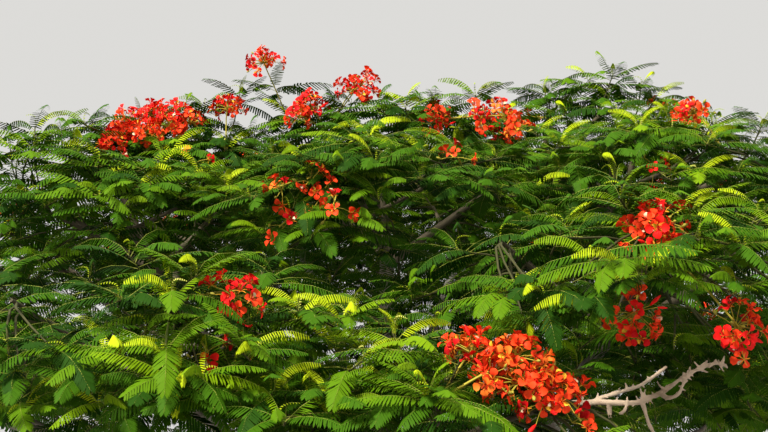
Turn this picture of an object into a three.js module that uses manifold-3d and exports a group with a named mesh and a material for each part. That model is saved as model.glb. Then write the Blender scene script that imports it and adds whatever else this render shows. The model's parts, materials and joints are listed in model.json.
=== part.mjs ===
// A flame tree rooted in level ground: trunk, boughs, masses of foliage with blossom, and one dead bough.
// Millimetres, +Z up. The origin is the middle of the flat cut under the trunk.
import * as THREE from "three";
import { mergeVertices } from "three/addons/utils/BufferGeometryUtils.js";
import Module from "manifold-3d";

const wasm = await Module();
wasm.setup();

const UP = new THREE.Vector3(0, 0, 1);
const degrees = THREE.MathUtils.degToRad;
const vector = (x, y, z) => new THREE.Vector3(x, y, z);
const heading = (turn) => vector(Math.cos(degrees(turn)), Math.sin(degrees(turn)), 0);
const within = ([least, most], share) => THREE.MathUtils.lerp(least, most, share);

// Clearances between separate pieces
const TIP_CLEAR = 0.3;
const FOOT_CLEAR = 0.45;
const SPACE_CLEAR = 4;
const LIMB_CLEAR = 12;
const WELD = 0.01;
const FINEST = 0.05;

// Trunk
const TRUNK_HEIGHT = 1980;
const TRUNK_RADIUS = 262;
const TRUNK_LEAN = 70;
const TRUNK_BOW = 35;
const TRUNK_TAPER = 0.1;
const TRUNK_SIDES = 20;
const TRUNK_RINGS = 7;
const RING_CROWDING = 1.35;
const FLARE_SPREAD = 185;
const FLARE_HEIGHT = 260;
const BUTTRESSES = 5;
const BUTTRESS_DEPTH = 0.17;
const BUTTRESS_HEIGHT = 416;
const BUTTRESS_TURN = 34;
const FORK_HEIGHT = 1720;
const FORK_SWELL = 60;
const HEAD_ROUNDING = 300;
const HEAD_FLAT = 0.45;

// Boughs
const BOUGH_FOOT_RADIUS = 128;
const BOUGH_TIP_RADIUS = 42;
const BRANCH_FOOT_SHARE = 0.74;
const BOUGH_SIDES = 8;
const BRANCH_SIDES = 6;
const BOUGH_RINGS = 6;
const BRANCH_RINGS = 5;
const BOUGH_SWAY = 0.07;
const LIMB_SEED = 5;
const LIMB_SAMPLES = 14;
const TAPER_POWER = 0.8;
const LINE_REACH = 0.36;
const LEADER_FOOT_HEIGHT = 1880;
const BOUGH_FOOT_HEIGHT = 1660;

// Which limb carries each mass's limb, how far along it, and how steeply it leaves and arrives
const LEADER = "crest_1";
const LIMB_PLAN = {
  skirt_1: { leaves: 50, arrives: 14 },
  skirt_3: { leaves: 46, arrives: 12 },
  skirt_5: { leaves: 50, arrives: 14 },
  skirt_7: { leaves: 44, arrives: 12 },
  skirt_9: { leaves: 50, arrives: 14 },
  crest_1: { leaves: 84, arrives: 60 },
  skirt_2: { from: "skirt_3", at: 0.36, leaves: 30, arrives: 22 },
  skirt_4: { from: "skirt_5", at: 0.42, leaves: 24, arrives: 12 },
  skirt_6: { from: "skirt_7", at: 0.4, leaves: 24, arrives: 12 },
  skirt_8: { from: "skirt_9", at: 0.42, leaves: 24, arrives: 12 },
  skirt_10: { from: "skirt_1", at: 0.4, leaves: 24, arrives: 12 },
  apron: { from: "skirt_1", at: 0.66, leaves: 4, arrives: 4 },
  shoulder_1: { from: "skirt_1", at: 0.5, leaves: 62, arrives: 48 },
  shoulder_2: { from: "skirt_3", at: 0.52, leaves: 62, arrives: 48 },
  shoulder_3: { from: "skirt_3", at: 0.22, leaves: 66, arrives: 44 },
  shoulder_4: { from: "skirt_5", at: 0.3, leaves: 60, arrives: 44 },
  shoulder_5: { from: "skirt_5", at: 0.54, leaves: 62, arrives: 48 },
  shoulder_6: { from: "skirt_7", at: 0.3, leaves: 62, arrives: 46 },
  shoulder_7: { from: "skirt_9", at: 0.3, leaves: 60, arrives: 44 },
  shoulder_8: { from: "skirt_1", at: 0.26, leaves: 62, arrives: 44 },
  crest_2: { from: LEADER, at: 0.42, leaves: 56, arrives: 50 },
  crest_3: { from: LEADER, at: 0.56, leaves: 58, arrives: 52 },
  crest_4: { from: LEADER, at: 0.5, leaves: 58, arrives: 52 },
  crest_5: { from: LEADER, at: 0.34, leaves: 56, arrives: 50 },
};

// The dead bough: a bare limb with a side limb, its spurs left on, beside the apron
const DEAD_AT = 0.8;
const DEAD_RADIUS = 34;
const DEAD_SIDE_RADIUS = 24;
const DEAD_TIP_RADIUS = 10;
const DEAD_LINE = [
  vector(640, -3960, 4130),
  vector(930, -4110, 4260),
  vector(1200, -4200, 4300),
  vector(1440, -4260, 4370),
  vector(1640, -4310, 4460),
  vector(1790, -4350, 4475),
];
const DEAD_SIDE_FROM = 2;
const DEAD_SIDE_LINE = [vector(1360, -4120, 4330), vector(1480, -4060, 4400), vector(1545, -4010, 4470)];
const SPUR_LENGTH = 120;
const SPUR_RADIUS = 10;
const SPUR_COUNT = 6;
const SPURS_FROM = 0.34;
const SPURS_SPAN = 0.6;
const SPUR_RISE_RANGE = [45, 75];
const SPUR_SIZE_RANGE = [0.5, 1.5];
const SPURS_UP = 0.6;
const DEAD_SEED = 7;

// A mass of foliage fills a flattened dome of these half sizes, times its own scale
const DOME_ACROSS = 1350;
const DOME_UP = 680;
const STEM_LENGTH = 240;
const HUB_DROP = 0.32;
const HUB_INSET = 0.2;
const FIRST_SEED = 101;
const SEED_STEP = 17;
const TIERS = [
  { name: "skirt", count: 10, across: 4480, deep: 3950, height: 4600, first: 253, scale: 1 },
  { name: "shoulder", count: 8, across: 2800, deep: 2350, height: 5560, first: 271, scale: 0.97 },
  { name: "crest", count: 5, across: 1720, deep: 850, height: 6130, first: 270, scale: 0.94 },
];
// How far single masses stand above or below their tier
const LIFTS = {
  skirt_1: -60,
  skirt_2: 300,
  skirt_3: 120,
  skirt_5: 170,
  skirt_7: -150,
  skirt_9: 130,
  shoulder_2: 290,
  shoulder_3: 260,
  shoulder_5: 150,
  shoulder_7: -60,
  crest_1: 90,
  crest_2: 290,
  crest_3: 150,
};
// A small mass that hangs low in front
const LOW_MASS = { name: "apron", x: 320, y: -4330, z: 4080, scale: 0.8 };

// Twigs inside a mass
const MAIN_TWIGS = 3;
const MAIN_REACH = 0.58;
const MAIN_SHELL = 0.5;
const MAIN_RADIUS = 32;
const SIDE_FROM = 0.48;
const SIDE_RADIUS = 18;
const SIDE_TURN = 60;
const SIDE_REACH = 0.66;
const TOP_REACH = 0.12;
const TOP_SHELL = 0.74;
const STEM_BACK = 60;
const TWIG_BORDER = 100;
const TWIG_LEAST = 160;
const LEAST_SHARE = 0.3;
const SHARE_STEP = 0.1;
// Twigs and leaves face away from a point this far under a mass's middle, in half heights
const OUT_FROM_BELOW = 0.45;

// Each twig ends in a spray: a star of tapering leaves round its hub
const LEAVES_IN_SPRAY = 5;
const SPRAY_HUB = 31;
const SPRAY_PEAK = 24;
const SPRAY_LEAN = 0.7;
const LEAF_LENGTH = 630;
const LEAF_WIDTH = 220;
const LEAF_WIDEST = 0.44;
const LEAF_GIRTH = 42;
const LEAF_SIZE_RANGE = [0.88, 1.08];
const LEAF_RISE_RANGE = [-0.1, 0.24];
const LEAF_TRIES = [
  { turn: 0, size: 1 },
  { turn: 16, size: 0.9 },
  { turn: -16, size: 0.84 },
  { turn: 6, size: 0.7 },
];
const NOTCH_TURN = 80;

// Blossom heads: a domed star on a stalk that widens into it
const HEAD_RADIUS = 155;
const HEAD_PEAK = 95;
const HEAD_DIP = 18;
const HEAD_POINTS = 6;
const HEAD_HUB = 72;
const HEAD_STALK_RADIUS = 14;
const HEAD_GIRTH = 93;
// Heads that have a known place on their mass: turn in degrees, then reach outwards and upwards in half sizes
const HEADS = {
  crest_1: [
    [194, 0.82, 1.42],
    [225, 0.66, 0.67],
    [250, 0.53, 0.86],
    [294, 0.78, 0.38],
    [312, 0.9, 0.4],
  ],
  crest_5: [
    [243, 0.78, 0.62],
    [264, 0.72, 0.68],
    [295, 0.64, 1.0],
  ],
  shoulder_1: [
    [234, 0.92, 0.06],
    [250, 0.9, 0.02],
    [233, 0.88, -0.3],
    [292, 0.78, 0.41],
  ],
  shoulder_2: [
    [289, 0.46, 0.84],
    [260, 0.87, 0.03],
  ],
  skirt_1: [
    [301, 0.88, 0.39],
    [293, 0.94, -0.05],
  ],
  skirt_2: [
    [262, 0.78, 0.34],
    [256, 0.85, -0.32],
    [283, 0.81, -0.42],
  ],
  apron: [
    [286, 0.4, 0.86],
    [312, 0.62, 0.6],
    [324, 0.7, 0.2],
  ],
};
// The other masses have this many, found by a seeded search
const SEEDED_HEADS = 2;
const HEAD_TRIES = 12;
const HEAD_REACH_RANGE = [0.1, 0.78];
const HEAD_SHELL = 0.9;
const HEAD_FOOT_AT = 0.93;
const HEADS_APART = 620;

// Repeatable random numbers from 0 to 1
function seeded(seed) {
  let state = seed >>> 0;
  return () => {
    state = (state + 0x6d2b79f5) >>> 0;
    let mixed = Math.imul(state ^ (state >>> 15), state | 1);
    mixed = (mixed + Math.imul(mixed ^ (mixed >>> 7), mixed | 61)) ^ mixed;
    return ((mixed ^ (mixed >>> 14)) >>> 0) / 4294967296;
  };
}

// Solids

function solidOf(geometry) {
  geometry.deleteAttribute("normal");
  geometry.deleteAttribute("uv");
  const merged = mergeVertices(geometry, WELD);
  return new wasm.Manifold(
    new wasm.Mesh({
      numProp: 3,
      vertProperties: new Float32Array(merged.attributes.position.array),
      triVerts: new Uint32Array(merged.index.array),
    }),
  );
}

// The one outer body of a joined solid: loose scraps and sealed hollows are dropped
function mainBody(solid) {
  const bodies = solid.asOriginal().simplify(FINEST).decompose();
  bodies.sort((a, b) => b.volume() - a.volume());
  return bodies[0];
}

function geometryOf(solid) {
  const mesh = solid.getMesh();
  const geometry = new THREE.BufferGeometry();
  geometry.setAttribute("position", new THREE.BufferAttribute(new Float32Array(mesh.vertProperties), 3));
  geometry.setIndex(new THREE.BufferAttribute(new Uint32Array(mesh.triVerts), 1));
  const flat = geometry.toNonIndexed();
  flat.computeVertexNormals();
  return flat;
}

// A closed tube along a curve, from a cylinder bent to it
function tube(curve, sides, rings, radiusAt, flatSide) {
  const geometry = new THREE.CylinderGeometry(1, 1, 1, sides, rings);
  const spots = geometry.attributes.position;
  for (let i = 0; i < spots.count; i++) {
    const t = THREE.MathUtils.clamp(spots.getY(i) + 0.5, 0, 1);
    const along = curve.getTangent(t);
    const u = flatSide.clone().addScaledVector(along, -flatSide.dot(along)).normalize();
    const v = vector(0, 0, 0).crossVectors(u, along);
    const point = curve.getPoint(t);
    point.addScaledVector(u, spots.getX(i) * radiusAt(t));
    point.addScaledVector(v, spots.getZ(i) * radiusAt(t));
    spots.setXYZ(i, point.x, point.y, point.z);
  }
  return geometry;
}

// A frame with its third axis along a given way, turned to it from another frame the shortest way
function frameAlong(way, frame) {
  const turned = new THREE.Quaternion().setFromUnitVectors(frame.facing, way);
  return {
    facing: way.clone(),
    ahead: frame.ahead.clone().applyQuaternion(turned),
    across: frame.across.clone().applyQuaternion(turned),
  };
}

// A way across a frame, at a turn round its third axis
const spoke = ({ ahead, across }, turn, length) =>
  ahead
    .clone()
    .multiplyScalar(length * Math.cos(degrees(turn)))
    .addScaledVector(across, length * Math.sin(degrees(turn)));

// One closed piece: a twig that ends in a star. Leaves are lists of rim points with the turn they stand at.
// The rim runs round the leaves and the notches between them, and the notches are also the twig's end ring.
function starOnTwig(star, leaves, foot, footRadius) {
  const faces = [];
  const footFrame = frameAlong(star.hub.clone().sub(foot).normalize(), star);
  const notchAt = (turn) => ({
    end: star.hub.clone().add(spoke(star, turn, star.hubRadius)),
    foot: foot.clone().add(spoke(footFrame, turn, footRadius)),
  });
  const count = leaves.length;
  const rim = [];
  const ring = [];
  for (let k = 0; k < Math.max(count, 1); k++) {
    const [own, next] = count ? [leaves[k], leaves[(k + 1) % count]] : [{ turn: 0, points: [] }, { turn: 0 }];
    const gap = (((next.turn - own.turn) % 360) + 360) % 360 || 360;
    const notches = Math.max(1, Math.round(gap / NOTCH_TURN));
    for (const point of own.points) rim.push({ point });
    for (let i = 0; i < notches; i++) {
      const notch = notchAt(own.turn + (gap * (i + 0.5)) / notches);
      ring.push(notch);
      rim.push({ point: notch.end, notch });
    }
  }
  const peak = star.hub.clone().addScaledVector(star.facing, star.peak);
  rim.forEach(({ point }, i) => faces.push(peak, point, rim[(i + 1) % rim.length].point));
  ring.forEach((own, i) => {
    const next = ring[(i + 1) % ring.length];
    const from = rim.findIndex(({ notch }) => notch === own);
    const underside = [own.end];
    for (let k = from + 1; !rim[k % rim.length].notch; k++) underside.push(rim[k % rim.length].point);
    underside.push(next.end);
    for (let k = 2; k < underside.length; k++) faces.push(own.end, underside[k], underside[k - 1]);
    faces.push(own.end, own.foot, next.end, own.foot, next.foot, next.end);
    if (i > 0 && i < ring.length - 1) faces.push(ring[0].foot, next.foot, own.foot);
  });
  return solidOf(new THREE.BufferGeometry().setFromPoints(faces));
}

// The rim points of one leaf of a spray
function leafAt(spray, turn, length, rise) {
  const out = spoke(spray, turn, 1).addScaledVector(spray.facing, rise).normalize();
  const side = spoke(spray, turn + 90, LEAF_WIDTH / 2);
  const widest = spray.hub.clone().addScaledVector(out, LEAF_WIDEST * length);
  const tip = spray.hub.clone().addScaledVector(out, length);
  return { turn, points: [widest.clone().sub(side), tip, widest.clone().add(side)] };
}

// The points of a blossom head, which dip a little below its hub
function headPetals(head) {
  const petals = [];
  for (let k = 0; k < HEAD_POINTS; k++) {
    const turn = (360 * k) / HEAD_POINTS;
    const tip = head.hub.clone().add(spoke(head, turn, HEAD_RADIUS)).addScaledVector(head.facing, -HEAD_DIP);
    petals.push({ turn, points: [tip] });
  }
  return petals;
}

// A short pointed twig, broken off on a dead limb
function spur(from, to, radius) {
  const facing = to.clone().sub(from).normalize();
  const frame = frameAlong(facing, { facing: UP, ahead: heading(0), across: heading(90) });
  return starOnTwig({ ...frame, hub: to, hubRadius: 0.6 * radius, peak: radius }, [], from, radius);
}

// Layout of the masses

function layOutMasses() {
  const masses = [];
  for (const tier of TIERS) {
    for (let i = 0; i < tier.count; i++) {
      const name = `${tier.name}_${i + 1}`;
      const turn = tier.first + (360 * i) / tier.count;
      const way = heading(turn);
      const centre = vector(tier.across * way.x, tier.deep * way.y, tier.height + (LIFTS[name] ?? 0));
      masses.push({ name, turn, centre, scale: tier.scale });
    }
  }
  const low = vector(LOW_MASS.x, LOW_MASS.y, LOW_MASS.z);
  const lowTurn = THREE.MathUtils.radToDeg(Math.atan2(low.y, low.x));
  masses.push({ name: LOW_MASS.name, turn: lowTurn, centre: low, scale: LOW_MASS.scale });
  masses.forEach((mass, index) => {
    mass.seed = FIRST_SEED + SEED_STEP * index;
    mass.half = { across: DOME_ACROSS * mass.scale, up: DOME_UP * mass.scale };
  });
  for (const mass of masses) mass.borders = bordersOf(mass, masses);
  return masses;
}

// Lengths in the metric of the dome, in which every mass is a ball
const domeUnits = (v) => vector(v.x / DOME_ACROSS, v.y / DOME_ACROSS, v.z / DOME_UP);

// Flat borders between a mass and each other mass: a normal that points inwards and its offset
function bordersOf(mass, masses) {
  return masses
    .filter((other) => other !== mass)
    .map((other) => {
      const apart = domeUnits(mass.centre).sub(domeUnits(other.centre)).multiplyScalar(2);
      const normal = domeUnits(apart);
      const size = normal.length();
      const own = domeUnits(mass.centre).lengthSq() - mass.scale ** 2;
      const its = domeUnits(other.centre).lengthSq() - other.scale ** 2;
      return { normal: normal.divideScalar(size), offset: (own - its) / size };
    });
}

const insideBorders = (mass, point, margin) =>
  mass.borders.every(({ normal, offset }) => normal.dot(point) - offset >= margin);

const insideSpace = (mass, point, margin = SPACE_CLEAR) =>
  domeUnits(point.clone().sub(mass.centre)).length() <= mass.scale && insideBorders(mass, point, margin);

// A point brought back towards a mass's middle until it is inside the space
function drawnIn(mass, point, margin) {
  for (let share = 1; share > LEAST_SHARE; share -= SHARE_STEP) {
    const moved = mass.centre.clone().lerp(point, share);
    if (insideSpace(mass, moved, margin)) return moved;
  }
  return null;
}

// Limbs: the trunk, boughs from it and branches from the boughs

class TrunkLine extends THREE.Curve {
  getPoint(t, target = new THREE.Vector3()) {
    return target.set(TRUNK_LEAN * t * t, -TRUNK_BOW * Math.sin(Math.PI * t), TRUNK_HEIGHT * t);
  }
}

function trunkRadius(height, turn) {
  const flare = FLARE_SPREAD * Math.exp(-height / FLARE_HEIGHT);
  const swell = FORK_SWELL * Math.exp(-(((height - FORK_HEIGHT) / FLARE_HEIGHT) ** 2));
  const taper = 1 - (TRUNK_TAPER * height) / TRUNK_HEIGHT;
  const left = Math.max(TRUNK_HEIGHT - height, 0);
  const rounding = left < HEAD_ROUNDING ? Math.sqrt(1 - (1 - left / HEAD_ROUNDING) ** 2) : 1;
  const wave = Math.cos(BUTTRESSES * turn + degrees(BUTTRESS_TURN));
  const lobe = BUTTRESS_DEPTH * Math.exp(-height / BUTTRESS_HEIGHT) * wave;
  return (TRUNK_RADIUS * taper + flare + swell) * (1 + lobe) * Math.max(rounding, HEAD_FLAT);
}

// The trunk, or with some growth the same shape a little larger all round
function trunkSolid(growth) {
  const geometry = new THREE.CylinderGeometry(1, 1, 1, TRUNK_SIDES, TRUNK_RINGS);
  const spots = geometry.attributes.position;
  const line = new TrunkLine();
  for (let i = 0; i < spots.count; i++) {
    const share = spots.getY(i) + 0.5;
    const middle = line.getPoint(share ** RING_CROWDING);
    const out = vector(spots.getX(i), -spots.getZ(i), 0);
    const radius = trunkRadius(middle.z, Math.atan2(out.y, out.x)) + growth;
    const rise = share === 1 ? growth : 0;
    spots.setXYZ(i, middle.x + out.x * radius, middle.y + out.y * radius, middle.z + rise);
  }
  return solidOf(geometry);
}

function makeLimb(name, curve, footRadius, tipRadius, sides, rings) {
  const radiusAt = (t) => THREE.MathUtils.lerp(footRadius, tipRadius, t ** TAPER_POWER);
  const chord = curve.getPoint(1).sub(curve.getPoint(0));
  const flatSide = vector(0, 0, 0).crossVectors(UP, chord).normalize();
  const capsules = [];
  for (let i = 0; i < LIMB_SAMPLES; i++) {
    const [from, to] = [i / LIMB_SAMPLES, (i + 1) / LIMB_SAMPLES];
    capsules.push({ a: curve.getPoint(from), b: curve.getPoint(to), radius: radiusAt(from) });
  }
  return { name, curve, radiusAt, sides, rings, flatSide, capsules };
}

const limbSolid = (limb, growth) =>
  solidOf(tube(limb.curve, limb.sides, limb.rings, (t) => limb.radiusAt(t) + growth, limb.flatSide));

// A limb's line leaves and arrives at given slopes and sways a little to one side on its way
function limbLine(start, startWay, end, endWay, sway) {
  const length = start.distanceTo(end);
  const side = vector(0, 0, 0).crossVectors(UP, end.clone().sub(start)).normalize();
  const first = start.clone().addScaledVector(startWay, LINE_REACH * length);
  first.addScaledVector(side, sway * length);
  const second = end.clone().addScaledVector(endWay, -LINE_REACH * length);
  return new THREE.CubicBezierCurve3(start, first, second, end);
}

const slope = (turn, rise) =>
  heading(turn).multiplyScalar(Math.cos(degrees(rise))).addScaledVector(UP, Math.sin(degrees(rise)));

function layOutLimbs(masses) {
  const byName = Object.fromEntries(masses.map((mass) => [mass.name, mass]));
  const random = seeded(LIMB_SEED);
  const limbs = {};
  for (const [name, plan] of Object.entries(LIMB_PLAN)) {
    const mass = byName[name];
    const arriving = slope(mass.turn, plan.arrives);
    mass.hub = mass.centre.clone().addScaledVector(UP, -HUB_DROP * mass.half.up);
    mass.hub.addScaledVector(heading(mass.turn), -HUB_INSET * mass.half.across);
    const end = mass.hub.clone().addScaledVector(arriving, -STEM_LENGTH);
    const parent = plan.from ? limbs[plan.from] : null;
    const footHeight = name === LEADER ? LEADER_FOOT_HEIGHT : BOUGH_FOOT_HEIGHT;
    const trunkLine = new TrunkLine();
    const start = parent ? parent.curve.getPoint(plan.at) : trunkLine.getPoint(footHeight / TRUNK_HEIGHT);
    const across = end.clone().sub(start);
    const turnOut = THREE.MathUtils.radToDeg(Math.atan2(across.y, across.x));
    const sway = BOUGH_SWAY * (2 * random() - 1);
    const curve = limbLine(start, slope(turnOut, plan.leaves), end, arriving, sway);
    const foot = parent ? parent.radiusAt(plan.at) * BRANCH_FOOT_SHARE : BOUGH_FOOT_RADIUS;
    const tip = BOUGH_TIP_RADIUS * mass.scale;
    const sides = parent ? BRANCH_SIDES : BOUGH_SIDES;
    const rings = parent ? BRANCH_RINGS : BOUGH_RINGS;
    limbs[name] = makeLimb(`bough_${name}`, curve, foot, tip, sides, rings);
    mass.limb = limbs[name];
  }
  return Object.values(limbs);
}

function deadBough(carrier) {
  const random = seeded(DEAD_SEED);
  const start = carrier.curve.getPoint(DEAD_AT);
  const line = new THREE.CatmullRomCurve3([start, ...DEAD_LINE]);
  const main = makeLimb("dead_bough", line, DEAD_RADIUS, DEAD_TIP_RADIUS, 5, 8);
  const sideLine = new THREE.CatmullRomCurve3([DEAD_LINE[DEAD_SIDE_FROM], ...DEAD_SIDE_LINE]);
  const side = makeLimb("dead_side", sideLine, DEAD_SIDE_RADIUS, DEAD_TIP_RADIUS, 4, 3);
  let solid = limbSolid(main, 0).add(limbSolid(side, 0));
  for (let i = 0; i < SPUR_COUNT; i++) {
    const foot = line.getPoint(SPURS_FROM + (SPURS_SPAN * i) / SPUR_COUNT);
    const rise = (random() < SPURS_UP ? 1 : -1) * within(SPUR_RISE_RANGE, random());
    const way = slope(360 * random(), rise);
    const tip = foot.clone().addScaledVector(way, SPUR_LENGTH * within(SPUR_SIZE_RANGE, random()));
    solid = solid.add(spur(foot, tip, SPUR_RADIUS));
  }
  main.extra = side.capsules;
  return { limb: main, solid };
}

// Distance between two straight stretches
function stretchDistance(p1, q1, p2, q2) {
  const d1 = q1.clone().sub(p1);
  const d2 = q2.clone().sub(p2);
  const r = p1.clone().sub(p2);
  const a = d1.lengthSq();
  const e = d2.lengthSq();
  const b = d1.dot(d2);
  const c = d1.dot(r);
  const f = d2.dot(r);
  const spread = a * e - b * b;
  const clamp = (x) => Math.min(Math.max(x, 0), 1);
  let s = spread > 1e-9 ? clamp((b * f - c * e) / spread) : 0;
  let t = (b * s + f) / e;
  if (t < 0 || t > 1) {
    t = clamp(t);
    s = clamp((b * t - c) / a);
  }
  return p1.clone().addScaledVector(d1, s).distanceTo(p2.clone().addScaledVector(d2, t));
}

const clearOf = (capsules, a, b, radius) =>
  capsules.every((other) => stretchDistance(a, b, other.a, other.b) > other.radius + radius + LIMB_CLEAR);

function leafIsClear(mass, spray, points, capsules) {
  if (!points.every((point) => insideSpace(mass, point))) return false;
  const [right, tip, left] = points;
  const stretches = [
    [spray.hub, tip],
    [left, right],
    [spray.hub, left],
    [left, tip],
    [tip, right],
    [right, spray.hub],
  ];
  return stretches.every(([a, b]) => clearOf(capsules, a, b, SPRAY_PEAK));
}

// The way out of a mass's dome at a point
function outwards(mass, point) {
  const from = point.clone().sub(mass.centre);
  from.z += OUT_FROM_BELOW * mass.half.up;
  return vector(from.x / DOME_ACROSS ** 2, from.y / DOME_ACROSS ** 2, from.z / DOME_UP ** 2).normalize();
}

// A point in a mass's dome: a reach outwards from its middle, and a share of the dome's height there
function domePoint(mass, turn, reach, shell) {
  const way = heading(turn);
  const rise = Math.sqrt(Math.max(1 - reach * reach, 0));
  return vector(
    mass.centre.x + mass.half.across * reach * way.x,
    mass.centre.y + mass.half.across * reach * way.y,
    mass.centre.z + mass.half.up * rise * shell,
  );
}

// The stem goes on from the tip of the mass's bough, a clear gap beyond it
function stemSolid(mass) {
  const { limb } = mass;
  const along = limb.curve.getTangent(1);
  const foot = limb.curve.getPoint(1).addScaledVector(along, TIP_CLEAR);
  const head = foot.clone().addScaledVector(along, STEM_LENGTH);
  mass.hub = head.clone().addScaledVector(along, -STEM_BACK);
  const line = new THREE.LineCurve3(foot, head);
  return solidOf(tube(line, limb.sides, 1, () => limb.radiusAt(1), limb.flatSide));
}

// Main twigs fan out from the stem, one to the top, and each of the rest carries a side twig
function growTwigs(mass, firstTurn, obstacles) {
  const twigs = [];
  const tryTwig = (from, aim, radius) => {
    const to = drawnIn(mass, aim, TWIG_BORDER);
    if (!to || from.distanceTo(to) < TWIG_LEAST) return null;
    const start = from.clone().lerp(to, (2 * MAIN_RADIUS) / from.distanceTo(to));
    if (!clearOf(obstacles, start, to, radius)) return null;
    twigs.push({ from, to, radius });
    return to;
  };
  tryTwig(mass.hub, domePoint(mass, firstTurn, TOP_REACH, TOP_SHELL), MAIN_RADIUS);
  for (let i = 0; i < MAIN_TWIGS; i++) {
    const turn = firstTurn + (360 * i) / MAIN_TWIGS;
    const tip = tryTwig(mass.hub, domePoint(mass, turn, MAIN_REACH, MAIN_SHELL), MAIN_RADIUS);
    if (!tip) continue;
    const node = mass.hub.clone().lerp(tip, SIDE_FROM);
    tryTwig(node, domePoint(mass, turn + SIDE_TURN, SIDE_REACH, MAIN_SHELL), SIDE_RADIUS);
  }
  return twigs;
}

// A frame at a twig's end that faces out of the dome, leaning to the way the twig grows
function endFrame(mass, from, to, lean) {
  const way = to.clone().sub(from).normalize();
  const facing = outwards(mass, to).addScaledVector(way, lean).normalize();
  return frameAlong(facing, { facing: UP, ahead: heading(0), across: heading(90) });
}

// A blossom head whose stalk springs from the end of the nearest twig
function headAt(mass, twigs, turn, reach, up) {
  const hub = mass.centre.clone().addScaledVector(UP, up * mass.half.up);
  hub.addScaledVector(heading(turn), reach * mass.half.across);
  const feet = twigs.map(({ from, to }) => from.clone().lerp(to, HEAD_FOOT_AT));
  const foot = feet.reduce((best, other) => (other.distanceTo(hub) < best.distanceTo(hub) ? other : best));
  return { ...endFrame(mass, foot, hub, 1), hub, foot, hubRadius: HEAD_HUB, peak: HEAD_PEAK };
}

function headIsClear(mass, head, obstacles) {
  const tips = headPetals(head).flatMap(({ points }) => points);
  const inside = tips.every((tip) => insideBorders(mass, tip, SPACE_CLEAR));
  return inside && clearOf(obstacles, head.foot, head.hub, HEAD_HUB);
}

function growHeads(mass, twigs, obstacles, random) {
  const heads = [];
  const known = HEADS[mass.name];
  const wanted = known ? known.length : SEEDED_HEADS;
  for (let i = 0; i < (known ? wanted : HEAD_TRIES) && heads.length < wanted; i++) {
    const reach = within(HEAD_REACH_RANGE, random());
    const seededPlace = [360 * random(), reach, HEAD_SHELL * Math.sqrt(1 - reach * reach)];
    const head = headAt(mass, twigs, ...(known ? known[i] : seededPlace));
    const apart = heads.every(({ hub }) => known || hub.distanceTo(head.hub) > HEADS_APART);
    if (apart && headIsClear(mass, head, obstacles)) heads.push(head);
  }
  return heads;
}

// Leaves that would meet a limb, a twig, a head or a border are turned or shortened, or else left out
function growSprays(mass, twigs, taken, random) {
  for (const twig of twigs) {
    const frame = endFrame(mass, twig.from, twig.to, SPRAY_LEAN);
    const spray = { ...frame, hub: twig.to, hubRadius: SPRAY_HUB, peak: SPRAY_PEAK };
    const others = taken.filter(({ owner }) => owner !== twig);
    const firstTurn = 360 * random();
    twig.spray = spray;
    twig.leaves = [];
    for (let k = 0; k < LEAVES_IN_SPRAY; k++) {
      const length = LEAF_LENGTH * within(LEAF_SIZE_RANGE, random());
      const rise = within(LEAF_RISE_RANGE, random());
      for (const { turn, size } of LEAF_TRIES) {
        const leaf = leafAt(spray, firstTurn + turn + (360 * k) / LEAVES_IN_SPRAY, length * size, rise);
        if (!leafIsClear(mass, spray, leaf.points, others)) continue;
        twig.leaves.push(leaf);
        break;
      }
    }
    for (const { points } of twig.leaves)
      taken.push({ a: spray.hub, b: points[1], radius: LEAF_GIRTH, owner: twig });
  }
}

// One mass as one solid: stem, twigs, sprays of leaves and blossom heads
function growMass(mass, obstacles) {
  const random = seeded(mass.seed);
  const pieces = [stemSolid(mass)];
  const twigs = growTwigs(mass, 360 * random(), obstacles);
  const heads = growHeads(mass, twigs, obstacles, random);
  const taken = [...obstacles];
  for (const twig of twigs) taken.push({ a: twig.from, b: twig.to, radius: twig.radius, owner: twig });
  for (const head of heads) {
    taken.push({ a: head.foot, b: head.hub, radius: HEAD_STALK_RADIUS });
    const crown = head.hub.clone().addScaledVector(head.facing, HEAD_DIP);
    taken.push({ a: head.hub, b: crown, radius: HEAD_GIRTH });
    pieces.push(starOnTwig(head, headPetals(head), head.foot, HEAD_STALK_RADIUS));
  }
  growSprays(mass, twigs, taken, random);
  for (const { spray, leaves, from, radius } of twigs) pieces.push(starOnTwig(spray, leaves, from, radius));
  return mainBody(wasm.Manifold.union(pieces));
}

// Assembly

const bark = new THREE.MeshStandardMaterial({ color: 0x8a7f72, roughness: 0.9, metalness: 0 });
const deadWood = new THREE.MeshStandardMaterial({ color: 0xa79c8d, roughness: 0.95, metalness: 0 });
const foliage = new THREE.MeshStandardMaterial({ color: 0x4f7a2c, roughness: 0.7, metalness: 0 });

const tree = new THREE.Group();

function place(name, solid, material) {
  const mesh = new THREE.Mesh(geometryOf(solid), material.clone());
  mesh.name = name;
  tree.add(mesh);
}

const masses = layOutMasses();
const limbs = layOutLimbs(masses);
const apronLimb = masses.find(({ name }) => name === LOW_MASS.name).limb;
const dead = deadBough(apronLimb);

place("trunk", trunkSolid(0), bark);
const cutters = [trunkSolid(FOOT_CLEAR)];
for (const limb of limbs) {
  let solid = limbSolid(limb, 0);
  for (const cutter of cutters) solid = solid.subtract(cutter);
  place(limb.name, mainBody(solid), bark);
  cutters.push(limbSolid(limb, FOOT_CLEAR));
}
let deadSolid = dead.solid;
for (const cutter of cutters) deadSolid = deadSolid.subtract(cutter);
place(dead.limb.name, mainBody(deadSolid), deadWood);

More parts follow.
